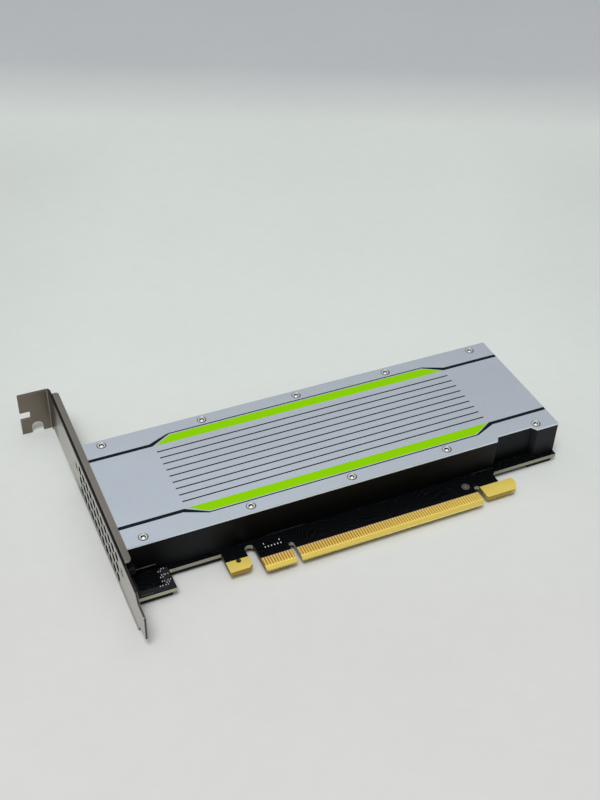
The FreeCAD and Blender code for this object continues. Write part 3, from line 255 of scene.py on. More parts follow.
def softened(node, width):
    """A copy of a CAD node with its sharp edges rounded, standing for that node."""
    mesh = nodes[node].data.copy()
    work = bmesh.new()
    work.from_mesh(mesh)
    bmesh.ops.remove_doubles(work, verts=work.verts, dist=DOUBLED)
    bmesh.ops.dissolve_limit(work, angle_limit=math.radians(0.5), verts=work.verts,
                             edges=work.edges)
    work.to_mesh(mesh)
    work.free()
    mesh.materials.clear()
    mesh.polygons.foreach_set("use_smooth", np.ones(len(mesh.polygons), bool))
    piece = link(f"{node}_form", mesh)
    rounding = piece.modifiers.new("edges", "BEVEL")
    rounding.width = width
    rounding.segments = 2
    rounding.limit_method = "ANGLE"
    rounding.angle_limit = math.radians(28.0)
    shading = piece.modifiers.new("shading", "WEIGHTED_NORMAL")
    shading.mode = "FACE_AREA"
    shading.weight = 50
    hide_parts(node)
    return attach(piece, BODY)


# --------------------------------------------------------------------------------------------------
# Shader maths
# --------------------------------------------------------------------------------------------------
class Wire:
    """One output socket of a shader tree: arithmetic adds Math nodes, node() adds any other."""

    def __init__(self, tree, socket=None):
        self.tree = tree
        self.socket = socket

    def node(self, kind, settings=None, sockets=None, output=0):
        """Add a node, set its settings, then give its sockets their values or links."""
        made = self.tree.nodes.new(kind)
        for name, value in (settings or {}).items():
            setattr(made, name, value)
        for name, value in (sockets or {}).items():
            if isinstance(value, Wire):
                self.tree.links.new(value.socket, made.inputs[name])
            else:
                made.inputs[name].default_value = value
        return Wire(self.tree, made.outputs[output])

    def maths(self, operation, first, second=0.0, clamp=False):
        """A Math node on one or two values or wires."""
        return self.node("ShaderNodeMath", {"operation": operation, "use_clamp": clamp},
                         {0: first, 1: second})

    def __add__(self, other):
        return self.maths("ADD", self, other)

    __radd__ = __add__

    def __sub__(self, other):
        return self.maths("SUBTRACT", self, other)

    def __rsub__(self, other):
        return self.maths("SUBTRACT", other, self)

    def __mul__(self, other):
        return self.maths("MULTIPLY", self, other)

    __rmul__ = __mul__

    def __gt__(self, other):
        return self.maths("GREATER_THAN", self, other)

    def __lt__(self, other):
        return self.maths("LESS_THAN", self, other)

    def __mod__(self, other):
        return self.maths("FLOORED_MODULO", self, other)

    def __abs__(self):
        return self.maths("ABSOLUTE", self)

    def clamped(self):
        """This value, held between 0 and 1."""
        return self.maths("ADD", self, 0.0, clamp=True)

    def rise(self, low, high):
        """0 below low, 1 above high and even in between; low may also be the greater one."""
        return ((self - low) * (1.0 / (high - low))).clamped()

    def within(self, low, high):
        """1 between low and high, else 0."""
        return abs(self - (low + high) / 2.0) < (high - low) / 2.0

    def most(self, other):
        """The greater of two values, which joins two masks."""
        return self.maths("MAXIMUM", self, other)

    def noise(self, scale, detail=3.0, roughness=0.5):
        """Soft noise from 0 to 1 on this vector."""
        return self.node("ShaderNodeTexNoise", None,
                         {"Vector": self, "Scale": scale, "Detail": detail, "Roughness": roughness})

    def spots(self, scale):
        """Distance to the nearest of many scattered points on this vector."""
        return self.node("ShaderNodeTexVoronoi", None, {"Vector": self, "Scale": scale})

    def stretched(self, x=1.0, y=1.0, z=1.0):
        """This vector with its axes scaled, for marks that run one way."""
        return self.node("ShaderNodeMapping", None, {"Vector": self, "Scale": (x, y, z)})

    def tinted(self, first, second):
        """A colour between two others, by this value. A Mix node's colours are sockets 6 and 7."""
        sockets = {0: self}
        for index, shade in ((6, first), (7, second)):
            sockets[index] = shade if isinstance(shade, Wire) else (*shade, 1.0)
        return self.node("ShaderNodeMix", {"data_type": "RGBA"}, sockets, 2)


class Finish:
    """A material under construction: its coordinates in millimetres and its shader."""

    def __init__(self, name):
        self.material = bpy.data.materials.new(name)
        self.material.use_nodes = True
        self.tree = self.material.node_tree
        self.shader = self.tree.nodes["Principled BSDF"]
        source = Wire(self.tree).node("ShaderNodeTexCoord", output=3)
        self.place = source.stretched(1.0 / MM, 1.0 / MM, 1.0 / MM)
        self.x, self.y, self.z = (
            self.place.node("ShaderNodeSeparateXYZ", None, {"Vector": self.place}, axis)
            for axis in range(3))

    def set(self, **values):
        """Give the shader's sockets values or wires; underscores stand for spaces."""
        for name, value in values.items():
            socket = self.shader.inputs[name.replace("_", " ")]
            if isinstance(value, Wire):
                self.tree.links.new(value.socket, socket)
            elif socket.type == "RGBA":
                socket.default_value = (*value, 1.0)
            else:
                socket.default_value = value
        return self

    def bump(self, height, depth):
        """Raise the surface by a height from 0 to 1, depth in millimetres."""
        raised = height.node("ShaderNodeBump", None, {"Height": height, "Distance": depth * MM})
        return self.set(Normal=raised)

    def on(self, *pieces):
        """Put the material on pieces or on CAD nodes by name."""
        for piece in pieces:
            piece = nodes[piece] if isinstance(piece, str) else piece
            piece.data.materials.clear()
            piece.data.materials.append(self.material)
            faces = np.zeros(len(piece.data.polygons), np.int32)
            piece.data.polygons.foreach_set("material_index", faces)
        return self


def plain(name, shade, roughness, metallic=0.0, grain=6.0, depth=0.01, contrast=0.12):
    """A finish with soft clouds, fine grain and a little relief, for small and inner parts."""
    made = Finish(name)
    cloud = made.place.noise(grain * 0.08, 4.0)
    fine = made.place.noise(grain, 2.0)
    darker = [value * (1.0 - contrast) for value in shade]
    paler = [min(1.0, value * (1.0 + contrast)) for value in shade]
    mixed = cloud * 0.6 + fine * 0.4
    made.set(Base_Color=mixed.tinted(darker, paler), Roughness=mixed * 0.2 + (roughness - 0.1),
             Metallic=metallic)
    return made.bump(fine, depth)


# --------------------------------------------------------------------------------------------------
# Finishes of the main pieces
# --------------------------------------------------------------------------------------------------
def millimetres(node):
    """Lowest and highest corners of a node's box, in millimetres."""
    low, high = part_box(node)
    return low / MM, high / MM


def scaled(shade, factor):
    """A colour made darker or paler."""
    return [min(1.0, value * factor) for value in shade]


def cover_screw_rings(made):
    """Distance from the nearest cover screw's axis, how far a point lies in front of it, and the
    radius of the screw's head."""
    lows, highs = solids_of("cover_screws")
    centres = (lows + highs) / 2.0 / MM
    head = (highs - lows)[:, 0].max() / 2.0 / MM
    first, last = centres[:, 0].min(), centres[:, 0].max()
    pitch = (last - first) / (len(centres) / 2 - 1)
    front, rear = centres[:, 1].min(), centres[:, 1].max()
    along = (made.x - (first - pitch / 2.0)) % pitch - pitch / 2.0
    nearer = made.y < (front + rear) / 2.0
    across = made.y - (nearer * (front - rear) + rear)
    squared = along * along + across * across
    return squared.maths("SQRT", squared), -1.0 * across, head


def cover_paint(colours, forms):
    """Satin metallic paint: fine flake, faint clouds, cut edges painted paler as a painted highlight, and
    painted shade in the gap round each screw, stronger on its front side.
    """
    made = Finish("cover_paint")
    flake = made.place.noise(9.0, 2.0, 0.7)
    cloud = made.place.stretched(0.4, 1.0, 1.0).noise(0.05, 3.0)
    mottle = made.place.noise(1.3, 3.0, 0.7)
    shade = (mottle * 0.5 + flake * 0.1 + cloud * 0.4).tinted(scaled(colours.cover, 0.84),
                                                              scaled(colours.cover, 1.13))
    face = millimetres("cover_plate")[1].z
    side = made.z < face - 0.14
    # the cut edges are painted paler and non-metallic as a painted highlight along the plate's edge
    edge_highlighted = side.tinted(shade, scaled(colours.cover, 1.2))
    away, front, head = cover_screw_rings(made)
    groove = forms.groove / MM
    # painted shade in the gap round each screw head: stronger on the screw's front side, uneven along the
    # ring
    gap = away.rise(head + groove, head + groove * 0.6)
    uneven_shade = made.place.noise(0.9, 2.0).rise(0.35, 0.65)
    dark = gap * (front.rise(-1.6, 0.6) * 0.55 + 0.35 + uneven_shade * 0.2).clamped()
    gap_shade_colour = (0.035, 0.035, 0.03)
    made.set(Base_Color=dark.tinted(edge_highlighted, gap_shade_colour),
             Roughness=cloud * 0.06 + flake * 0.08 + 0.27,
             Metallic=(1.0 - side) * (1.0 - dark) * 0.80)
    return made.bump(flake, 0.005)


def cover_ink(name, shade, roughness):
    """Screen-printed ink: even colour with the mesh's faint grain."""
    made = Finish(name)
    weave = made.place.noise(5.0, 2.0)
    cloud = made.place.noise(0.06, 2.0)
    made.set(Base_Color=(weave * 0.4 + cloud * 0.6).tinted(scaled(shade, 0.94), scaled(shade, 1.07)),
             Roughness=weave * 0.10 + roughness, Specular_IOR_Level=0.03)
    return made.bump(weave, 0.003)


def anodised(name, shade, roughness=0.46):
    """Black anodised casting with bead-blasted grain and faint handling marks."""
    made = Finish(name)
    grain = made.place.noise(14.0, 2.0, 0.6)
    rub = made.place.stretched(0.15, 1.0, 1.0).noise(0.9, 4.0)
    made.set(Base_Color=rub.tinted(scaled(shade, 0.6), scaled(shade, 1.6)),
             Roughness=rub * 0.12 + grain * 0.08 + (roughness - 0.10), Specular_IOR_Level=0.10)
    return made.bump(grain, 0.006)


def frame_anodising(colours):
    """The heatsink frame's anodising, with a painted sheen that greys it towards the tail and beside the
    front bay, a painted highlight along the lifted wall's lower edge, and paler bands at the wall's foot."""
    made = anodised("frame_anodising", list(colours.anodised))
    deep = Wire(made.tree, made.shader.inputs["Base Color"].links[0].from_socket)
    low, high = millimetres("heatsink_frame")
    x, z = made.x, made.z
    # painted sheen: beside the bay, along the wall's upper half towards the tail, and on the tail's corner
    bloom = (x.rise(low.x + 12.0, low.x + 24.0) * x.rise(low.x + 40.0, low.x + 31.0) * 0.55
             + x.rise(high.x - 60.0, high.x - 26.0) * z.rise(2.0, 6.5) * 0.55
             + x.rise(high.x - 10.0, high.x - 8.5) * 0.45)
    sheen_grey = (0.019, 0.021, 0.024)
    sheened = bloom.clamped().tinted(deep, sheen_grey)
    face = made.y < millimetres("cover_plate")[0].y + 0.35
    streaks = made.place.stretched(0.5, 1.0, 2.0).noise(0.8, 4.0, 0.7)
    # a painted highlight along the lifted wall's lower edge, thickest by the bracket, and paler bands at
    # the wall's foot
    lifted = x.within(low.x + 1.6, low.x + 11.6) * z.within(1.9, 2.5)
    thick = x.rise(low.x + 5.0, low.x + 3.6)
    ends = x.within(low.x + 51.0, low.x + 66.0).most(x.within(high.x - 36.0, high.x - 21.5))
    foot = z.within(-0.1, 0.30) * ends
    highlight_and_pale_bands = face * (lifted * (streaks.rise(0.42, 0.52) * 0.5 + thick * 0.5)
                     + foot * (streaks.rise(0.40, 0.60) * 0.25 + 0.08)).clamped()
    pale_grey = (0.30, 0.31, 0.32)
    return made.set(Base_Color=highlight_and_pale_bands.tinted(sheened, pale_grey))


def bracket_steel(colours):
    """Plated sheet steel: rolling marks along the bracket, dull blooms and small scuffs. Painted shade and
    reflection darken the flange, the bends, the tab, the plate's corner by the tab and its lower skirt,
    with a reflected brown on the tab and flange; the cut edges are almost black, and the grille holes'
    walls are painted near-black as shade."""
    made = Finish("bracket_steel")
    x, y, z = made.x, made.y, made.z
    rolled = made.place.stretched(6.0, 0.06, 6.0).noise(1.4, 3.0)
    bloom = made.place.noise(0.07, 4.0)
    scuff = made.place.stretched(1.0, 0.35, 1.0).noise(2.2, 6.0, 0.7)
    worn = scuff.rise(0.62, 0.70)
    high = millimetres("bracket")[1]
    out = millimetres("bracket_screws")[0].x - SCREW_SINK
    inside = out + SHEET
    grille_left, grille_right, grille_low, grille_high = 13.0, 62.5, -2.4, 11.8
    flat = (x > out - 0.1) * (z < high.z - 1.3)
    cut = x.within(out + 0.12, inside - 0.12) * (z < high.z - SHEET) * (y < high.y - 1.4)
    # the grille holes' walls are painted near-black as painted shade
    holes = (x.within(out + 0.01, inside - 0.01) * y.within(grille_left, grille_right)
             * z.within(grille_low, grille_high))
    # painted shade and reflection: the flange (more towards the front), the bends, the tab, the plate's
    # corner by the tab and its lower skirt are darkened, and the tab and flange take a reflected brown
    flange = (z > high.z - SHEET - 0.1) * x.rise(out + 0.7, out + 1.2)
    bend = z.rise(high.z - 1.15, high.z - 0.85) * x.rise(out + 1.0, out + 0.7) * (y < high.y - 1.5)
    tab = x.rise(out + 0.3, out - 0.6) * (y > high.y - 2.2)
    corner = flat * y.rise(high.y - 13.5, high.y - 9.0)
    skirt = flat * z.rise(0.2, -2.0) * y.rise(72.0, 64.0) * (y.rise(16.0, 24.0) * 0.26 + 0.42)
    unshaded = ((1.0 - flange * (y.rise(30.0, 10.0) * 0.20 + 0.24)) * (1.0 - bend * 0.97)
            * (1.0 - tab * 0.60) * (1.0 - corner * 0.72) * (1.0 - skirt))
    dull = (bloom * 0.6 + rolled * 0.4).tinted(scaled(colours.steel, 0.88),
                                               scaled(colours.steel, 1.12))
    clean = (worn * 0.3).tinted(dull, scaled(colours.steel, 1.4))
    reflected_brown, shade_black, hole_shade = (0.48, 0.41, 0.34), (0.012, 0.010, 0.009), (0.004,) * 3
    brown_reflected = tab.most(flange * 0.35).tinted(clean, reflected_brown)
    shaded = unshaded.tinted(shade_black, brown_reflected)
    edged = cut.tinted(shaded, scaled(colours.steel, 0.22))
    made.set(Base_Color=holes.tinted(edged, hole_shade),
             Roughness=bloom * 0.14 + rolled * 0.10 + cut * 0.15 + 0.20, Metallic=1.0)
    return made.bump(rolled, 0.005)


def towards_tail(x):
    """How much plainer the contacts look along the board: not at all by the key, half at the end."""
    return x.rise(15.0, 72.0) * 0.45


def gold_plate(name, colours, hole=None, pads=False):
    """Matte gold over nickel, with wiping marks along the direction of insertion. A hole given by its
    place and radius gets a brown ring, and the contacts get a painted highlight along their middles and
    rear ends, with brown flanks."""
    made = Finish(name)
    wiped = made.place.stretched(5.0, 0.25, 5.0).noise(2.0, 3.0)
    cloud = made.place.noise(0.25, 3.0)
    shade = (cloud * 0.7 + wiped * 0.3).tinted(scaled(colours.gold, 0.92),
                                               scaled(colours.gold, 1.06))
    if pads:
        low, high = millimetres("edge_contacts_top")
        width = (high.x - low.x) % CONTACT_PITCH
        pad_gold, pad_highlight, flank_brown = (0.90, 0.72, 0.20), (1.0, 0.92, 0.62), (0.52, 0.25, 0.022)
        # painted highlight along each contact's middle and towards its rear end, with brown flanks between
        crown = abs((made.x - low.x) % CONTACT_PITCH - width / 2.0).rise(0.30, 0.14)
        pale = made.y.rise(high.y - 1.0, high.y - 0.4).tinted(pad_gold, pad_highlight)
        striped = towards_tail(made.x).tinted(crown.tinted(flank_brown, pale), shade)
        shade = made.y.rise(low.y + 0.9, low.y + 0.1).tinted(striped, shade)
    if hole:
        across, along, squared_radius = made.x - hole[0], made.y - hole[1], hole[2] * hole[2]
        squared = across * across + along * along
        ring_brown = (0.10, 0.045, 0.006)
        shade = squared.rise(squared_radius, squared_radius * 0.8).tinted(shade, ring_brown)
    made.set(Base_Color=shade, Roughness=wiped * 0.12 + cloud * 0.08 + 0.36, Metallic=0.62)
    return made.bump(wiped, 0.004)


def board_finish(colours):
    """Circuit board: glossy mask over traces and vias, bare laminate at the edges and between the
    contacts, dull gold round the edges of the plated tabs with painted light and shade on it, and painted
    light on the contacts' tips, brighter towards the tail."""
    made = Finish("board_finish")
    x, y, z = made.x, made.y, made.z
    low, high = millimetres("circuit_board")
    middle = (low.z + high.z) / 2.0
    side = abs(z - middle) < (high.z - low.z) / 2.0 - 0.02

    def over(node, margin):
        """1 where a point lies over a node's box, seen from above."""
        first, last = millimetres(node)
        return (x.within(first.x - margin, last.x + margin)
                * y.within(first.y - margin, last.y + margin))

    contact_low, contact_high = millimetres("edge_contacts_top")
    between = over("edge_contacts_top", 0.35) * y.within(contact_low.y - 0.02, contact_high.y + 0.02)
    tips = (y < contact_low.y) * x.within(contact_low.x - 0.30, contact_high.x + 0.30)
    guide_low, guide_high = millimetres("guide_plating")
    hook_low, hook_high = millimetres("hook_plating")
    guide_edge = side * over("guide_plating", 0.15)
    hook_edge = side * over("hook_plating", 0.15)
    # painted light and shade on the hook's sides: its left side brighter towards the front, its right end
    # brighter, its front face dark; the guide's sides painted darker towards the rear
    hook_left = x < hook_low.x + 0.05
    end_highlight = x.rise(hook_high.x - 4.0, hook_high.x - 1.0)
    hook_edge_shading = (hook_left * y.rise(6.0, 2.0) * 0.65 + end_highlight * 0.5
              + (1.0 - hook_left) * 0.22).tinted(colours.edge_brown, colours.gold)
    guide_edge_shading = y.rise(guide_high.y, guide_low.y).tinted(scaled(colours.edge_brown, 0.45),
                                                          scaled(colours.edge_brown, 1.5))

    layers = made.place.stretched(0.3, 0.3, 9.0).noise(0.9, 2.0)
    fibre = made.place.noise(7.0, 3.0)
    laminate = (layers * 0.6 + fibre * 0.4).tinted(scaled(colours.laminate, 0.75),
                                                   scaled(colours.laminate, 1.25))
    laminate = (x < low.x + 16.0).tinted(laminate, scaled(colours.laminate, 1.30))
    guide_side_black, mossy = (0.012, 0.012, 0.010), (0.040, 0.042, 0.020)
    # the guide's left side is darkened near black towards its rear
    guide_side = x.within(guide_low.x - 0.1, guide_low.x + 0.2) * y.rise(7.0, 9.0)
    laminate = (guide_side * 0.8).tinted(laminate, guide_side_black)
    tongue_side = x.within(contact_low.x - 0.6, contact_low.x - 0.05) * (y < 12.0)
    laminate = tongue_side.tinted(laminate, y.rise(9.0, 0.5).tinted(
        mossy, scaled(colours.edge_brown, 1.1)))
    slant = (x * 0.25) % 9.0 - 4.5
    route = made.place.noise(0.12, 0.0)
    lane_pitch, drop_pitch = 1.3, CONTACT_PITCH
    lanes = abs((y + abs(slant) * 1.4 + route * 9.0) % lane_pitch - lane_pitch / 2.0) < 0.16
    drops = (abs((x + drop_pitch / 2.0) % drop_pitch - drop_pitch / 2.0) < 0.13) * (y < 8.6)
    copper = lanes.most(drops)
    via = made.place.stretched(1.0, 1.0, 0.0).spots(0.38)
    hole = via < 0.10
    ring = (via < 0.17) * (1.0 - hole)
    mask = copper.tinted(colours.mask, [value * 1.8 + 0.001 for value in colours.mask])
    mask = ring.tinted(mask, [value * 2.5 + 0.002 for value in colours.mask])
    foot = x.within(low.x + 0.8, low.x + 14.8) * y.within(4.6, 14.0)
    bay = x.within(low.x + 3.15, low.x + 11.65) * y.within(7.0, 16.0)
    glossy_grey = (0.017, 0.019, 0.020)
    mask = (foot * (1.0 - bay)).tinted(mask, glossy_grey)
    amber, pale_amber, dull_gold = (0.42, 0.20, 0.014), (0.54, 0.26, 0.022), scaled(colours.gold, 0.80)
    gap = towards_tail(x).tinted(fibre.tinted(amber, pale_amber), dull_gold)
    gap = y.rise(contact_low.y + 0.9, contact_low.y + 0.1).tinted(gap, dull_gold)
    face = side.tinted(between.tinted(mask, gap), laminate)
    # painted light on the contacts' tips: the front face brightening towards the tail, the upper bevel
    # kept darker
    tip_highlight = (1.0, 0.88, 0.36)
    tip_light_and_shade = (z.rise(-0.45, -0.60) * x.rise(-12.0, 45.0)).tinted(scaled(colours.gold, 0.60),
                                                                   tip_highlight)
    face = tips.tinted(face, tip_light_and_shade)
    face = hook_edge.tinted(face, hook_edge_shading)
    face = guide_edge.tinted(face, guide_edge_shading)
    bare = side.most(between).most(tips)
    made.set(Base_Color=face,
             Roughness=bare * 0.30 + fibre * 0.06 + 0.20,
             Metallic=hook_edge.most(guide_edge).most(tips) * 0.35, Specular_IOR_Level=0.12)
    relief = (copper * 0.5 + ring * 0.3 - hole * 0.6) * (1.0 - side)
    return made.bump(relief + fibre * 0.06, 0.02)


def turned_steel(name, shade):
    """Plated screw steel with faint marks, with light and shade painted by the piece's own shade
    attribute: painted black shade at 1, a painted white glint at -1.
    """
    made = Finish(name)
    mark = made.place.noise(8.0, 3.0)
    kept = made.place.node("ShaderNodeAttribute", {"attribute_name": "shade"}, None, 2)
    black = kept.clamped()
    bright = mark.tinted(scaled(shade, 0.90), scaled(shade, 1.08))
    # painted shade: black in the sockets and round the heads' front rims; a painted white glint where the
    # shade is below 0
    glint_white, socket_shade_black = (1.0, 1.0, 0.98), (0.010, 0.010, 0.009)
    bright = kept.rise(0.0, -0.8).tinted(bright, glint_white)
    made.set(Base_Color=black.tinted(bright, socket_shade_black),
             Roughness=mark * 0.14 + black * 0.2 + 0.26, Metallic=black * 0.5 + 0.5)
    return made.bump(mark, 0.005)


# --------------------------------------------------------------------------------------------------
# Operators: one for each piece or group of like pieces
# --------------------------------------------------------------------------------------------------
def standing_for(node, piece, finish):
    """Close a made piece's seams and let it stand for a CAD node, with body and finish."""
    weld(piece)
    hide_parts(node)
    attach(piece, BODY)
    finish.on(piece)


def rounded_blocks(node, word, finish, plan, section):
    """Each solid of a CAD node as a rounded block in its place. All of them have one size."""
    lows, highs = solids_of(node)
    points, faces = pillow(highs[0] - lows[0], plan=plan, section=section)
    places = [Matrix.Translation(centre) for centre in (lows + highs) / 2.0]
    standing_for(node, copies(f"{node}_{word}", points, faces, places), finish)


class CARD_OT_cover(bpy.types.Operator):
    """Round the cover plate's edges and paint it"""

    bl_idname = "card.cover"
    bl_label = "Cover plate"

    def execute(self, context):
        scene = context.scene
        piece = softened("cover_plate", scene.card_forms.sheet_edge)
        cover_paint(scene.card_colours, scene.card_forms).on(piece)
        return {"FINISHED"}


class CARD_OT_print(bpy.types.Operator):
    """Ink the stripes, bands and fine lines on the cover"""

    bl_idname = "card.printing"
    bl_label = "Print"

    def execute(self, context):
        colours = context.scene.card_colours
        cover_ink("stripe_ink", list(colours.stripe), 0.55).on("green_stripes")
        cover_ink("band_ink", list(colours.band), 0.50).on("dark_bands", "fine_lines")
        return {"FINISHED"}


class CARD_OT_heatsink(bpy.types.Operator):
    """Round the heatsink frame's edges and finish frame, fins and spreader"""

    bl_idname = "card.heatsink"
    bl_label = "Heatsink"

    def execute(self, context):
        scene = context.scene
        piece = softened("heatsink_frame", scene.card_forms.cast_edge)
        frame_anodising(scene.card_colours).on(piece)
        anodised("fin_anodising", scaled(scene.card_colours.anodised, 1.6), 0.40).on("fin_stack")
        plain("spreader_copper", (0.62, 0.30, 0.16), 0.30, 1.0, 5.0).on("heat_spreader")
        return {"FINISHED"}


class CARD_OT_bracket(bpy.types.Operator):
    """Round the bracket's punched edges and finish its steel"""

    bl_idname = "card.bracket"
    bl_label = "Bracket"

    def execute(self, context):
        scene = context.scene
        piece = softened("bracket", scene.card_forms.sheet_edge)
        bracket_steel(scene.card_colours).on(piece)
        return {"FINISHED"}


class CARD_OT_board(bpy.types.Operator):
    """Finish the circuit board with its mask, its edges and the gold round its tabs"""

    bl_idname = "card.board"
    bl_label = "Circuit board"

    def execute(self, context):
        colours = context.scene.card_colours
        board_finish(colours).on("circuit_board")
        return {"FINISHED"}


class CARD_OT_contacts(bpy.types.Operator):
    """Make crowned contacts and pads, and plate them and the board's plated fields"""

    bl_idname = "card.contacts"
    bl_label = "Contacts"

    def execute(self, context):
        colours = context.scene.card_colours
        gold = gold_plate("gold_plate", colours)
        # the contacts' finish carries their painted highlight
        worn = gold_plate("contact_gold", colours, pads=True)
        dull = plain("pad_tarnish", (0.085, 0.060, 0.035), 0.50, 0.2, 9.0)
        pieces = (("edge_contacts_top", "gold", worn), ("edge_contacts_bottom", "gold", worn),
                  ("test_pads", "tarnished_gold", dull))
        for node, slot, finish in pieces:
            rounded_blocks(node, "crowned", finish, 0.2, 0.5)
        gold.on("hook_plating")
        low, high = millimetres("guide_plating")
        guide_hole = (low.x + 4.31, high.y - 0.75, 0.95)
        gold_plate("guide_gold", colours, guide_hole).on("guide_plating")
        plain("ring_tin", list(colours.tin), 0.42, 0.5, 5.0).on("ground_ring")
        return {"FINISHED"}


def screw_places(lows, highs, axis, outward):
    """Matrices that carry a screw made along Z onto each solid: head face at the outward end."""
    centres = (lows + highs) / 2.0
    centres[:, axis] = (highs if outward > 0 else lows)[:, axis]
    turn = Vector((0.0, 0.0, 1.0)).rotation_difference(
        Vector([outward if index == axis else 0.0 for index in range(3)])).to_matrix().to_4x4()
    return [Matrix.Translation(centre) @ turn for centre in centres]


class CARD_OT_screws(bpy.types.Operator):
    """Turn all screws with their hexagon sockets"""

    bl_idname = "card.screws"
    bl_label = "Screws"

    SIDES = 36
    SCREWS = (
        # node, axis, outward direction, height of a flat head or 0, thread radius over head radius
        ("cover_screws", 2, 1, 0.0, 0.576),
        ("bracket_screws", 0, -1, 0.0, 0.571),
        ("backplate_screws", 2, -1, 0.5, 0.576),
        ("clamp_screws", 2, -1, 0.5, 0.500),
    )

    def execute(self, context):
        forms = context.scene.card_forms
        steel = turned_steel("turned_steel", list(context.scene.card_colours.screw))
        dull = turned_steel("dull_steel", (0.16, 0.15, 0.12))
        for node, axis, outward, head_height, ratio in self.SCREWS:
            lows, highs = solids_of(node)
            size = (highs - lows)[0]
            head = size[(axis + 1) % 3] / 2.0
            thread, total = head * ratio, size[axis]
            socket, deep = forms.socket, forms.socket_depth
            rim = 0.10 * MM
            below = head_height * MM if head_height else rim + (head - thread)
            # radius, height, how hexagonal, how much painted shade (below 0 a painted glint), how much
            # more painted shade at the rear
            inner = [(0.0, -deep * 0.12, 0, -0.4, 0.0), (socket * 0.30, -deep * 0.12, 0, 0.0, 1.0),
                     (socket * 0.58, -deep * 0.18, 1, 0.0, 1.2), (socket * 0.80, -deep, 1, 1, 0.0),
                     (socket * 0.98, -deep * 0.9, 1, 1, 0.0), (socket, -rim * 0.9, 1, 1, 0.0),
                     (socket * 1.02, -rim * 0.4, 1, 0.5, 0.0), (socket * 1.10, 0.0, 1, 0, 0.0)]
            face = [(head * 0.76, 0.0, 0, 0, 0.0), (head * 0.82, -0.02 * MM, 0, 0.5, -0.3),
                    (head - rim, -0.05 * MM, 0, 0.75, -0.3), (head, -rim, 0, 0.8, -0.2)]
            under = [(head if head_height else thread, -below, 0, 1, 0.0), (thread, -below, 0, 0.5, 0.0),
                     (thread, -total + rim, 0, 0, 0.0), (thread - rim, -total, 0, 0, 0.0),
                     (0.0, -total, 0, 0, 0.0)]
            profile = np.array(inner + face + under, float)
            points, faces = turned(profile[:, :3], self.SIDES)
            rear = np.sin(np.linspace(0.0, 2.0 * math.pi, self.SIDES, endpoint=False))
            shade = np.clip(profile[:, 3:4] + profile[:, 4:5] * rear, -1.0, 1.0).ravel()
            places = screw_places(lows, highs, axis, outward)
            standing_for(node, copies(f"{node}_turned", points, faces, places, shade),
                         steel if axis == 2 else dull)
        steel.on("clamp_washers")
        return {"FINISHED"}


class CARD_OT_foot_parts(bpy.types.Operator):
    """Make the small chips on the foot, their tinned ends and the printed marks"""

    bl_idname = "card.foot_parts"
    bl_label = "Foot parts"

    def execute(self, context):
        ceramic = plain("chip_ceramic", (0.030, 0.024, 0.020), 0.50, 0.0, 9.0)
        tin = plain("chip_tin", (0.90, 0.90, 0.88), 0.34, 0.4, 1.2, contrast=0.45)
        ink = cover_ink("mark_ink", (0.62, 0.62, 0.60), 0.55)
        rounded_blocks("foot_chips", "rounded", ceramic, 0.3, 0.3)
        rounded_blocks("foot_chip_terminals", "rounded", tin, 0.45, 0.45)
        rounded_blocks("board_marks", "rounded", ink, 0.3, 0.5)
        return {"FINISHED"}


class CARD_OT_backplate(bpy.types.Operator):
    """Round the backplate's edges and finish it and its film"""

    bl_idname = "card.backplate"
    bl_label = "Backplate"

    def execute(self, context):
        scene = context.scene
        piece = softened("backplate", scene.card_forms.sheet_edge)
        anodised("backplate_coating", [0.007, 0.007, 0.0075], 0.46).on(piece)
        plain("film_black", (0.02, 0.02, 0.02), 0.30, 0.0, 4.0, 0.004).on("insulating_film")
        return {"FINISHED"}


class CARD_OT_inner_parts(bpy.types.Operator):
    """Finish the parts under the heatsink"""

    bl_idname = "card.inner_parts"
    bl_label = "Inner parts"

    def execute(self, context):
        resin = plain("chip_resin", (0.018, 0.018, 0.019), 0.52, 0.0, 12.0, 0.012)
        resin.on("memory_chips", "power_stages", "control_chip", "firmware_chip")
        pad = plain("thermal_pad", (0.28, 0.34, 0.42), 0.72, 0.0, 5.0, 0.03)
        pad.on("memory_pads", "inductor_pads", "power_stage_pads")
        tin = plain("tinned_metal", (0.72, 0.72, 0.70), 0.30, 1.0, 9.0)
        tin.on("firmware_chip_leads", "clock_crystal")
        plain("package_laminate", (0.03, 0.13, 0.06), 0.38, 0.0, 3.0).on("processor_substrate")
        plain("stiffener_nickel", (0.60, 0.58, 0.55), 0.26, 1.0, 7.0).on("stiffener_frame")
        plain("die_silicon", (0.05, 0.05, 0.065), 0.12, 0.6, 1.0, 0.001).on("processor_die")
        plain("paste_grey", (0.42, 0.42, 0.41), 0.60, 0.0, 2.0, 0.04).on("thermal_paste")
        plain("coil_ferrite", (0.10, 0.10, 0.10), 0.58, 0.2, 16.0, 0.03).on("inductors")
        plain("capacitor_case", (0.04, 0.035, 0.03), 0.40, 0.0, 8.0).on("reservoir_capacitors")
        return {"FINISHED"}


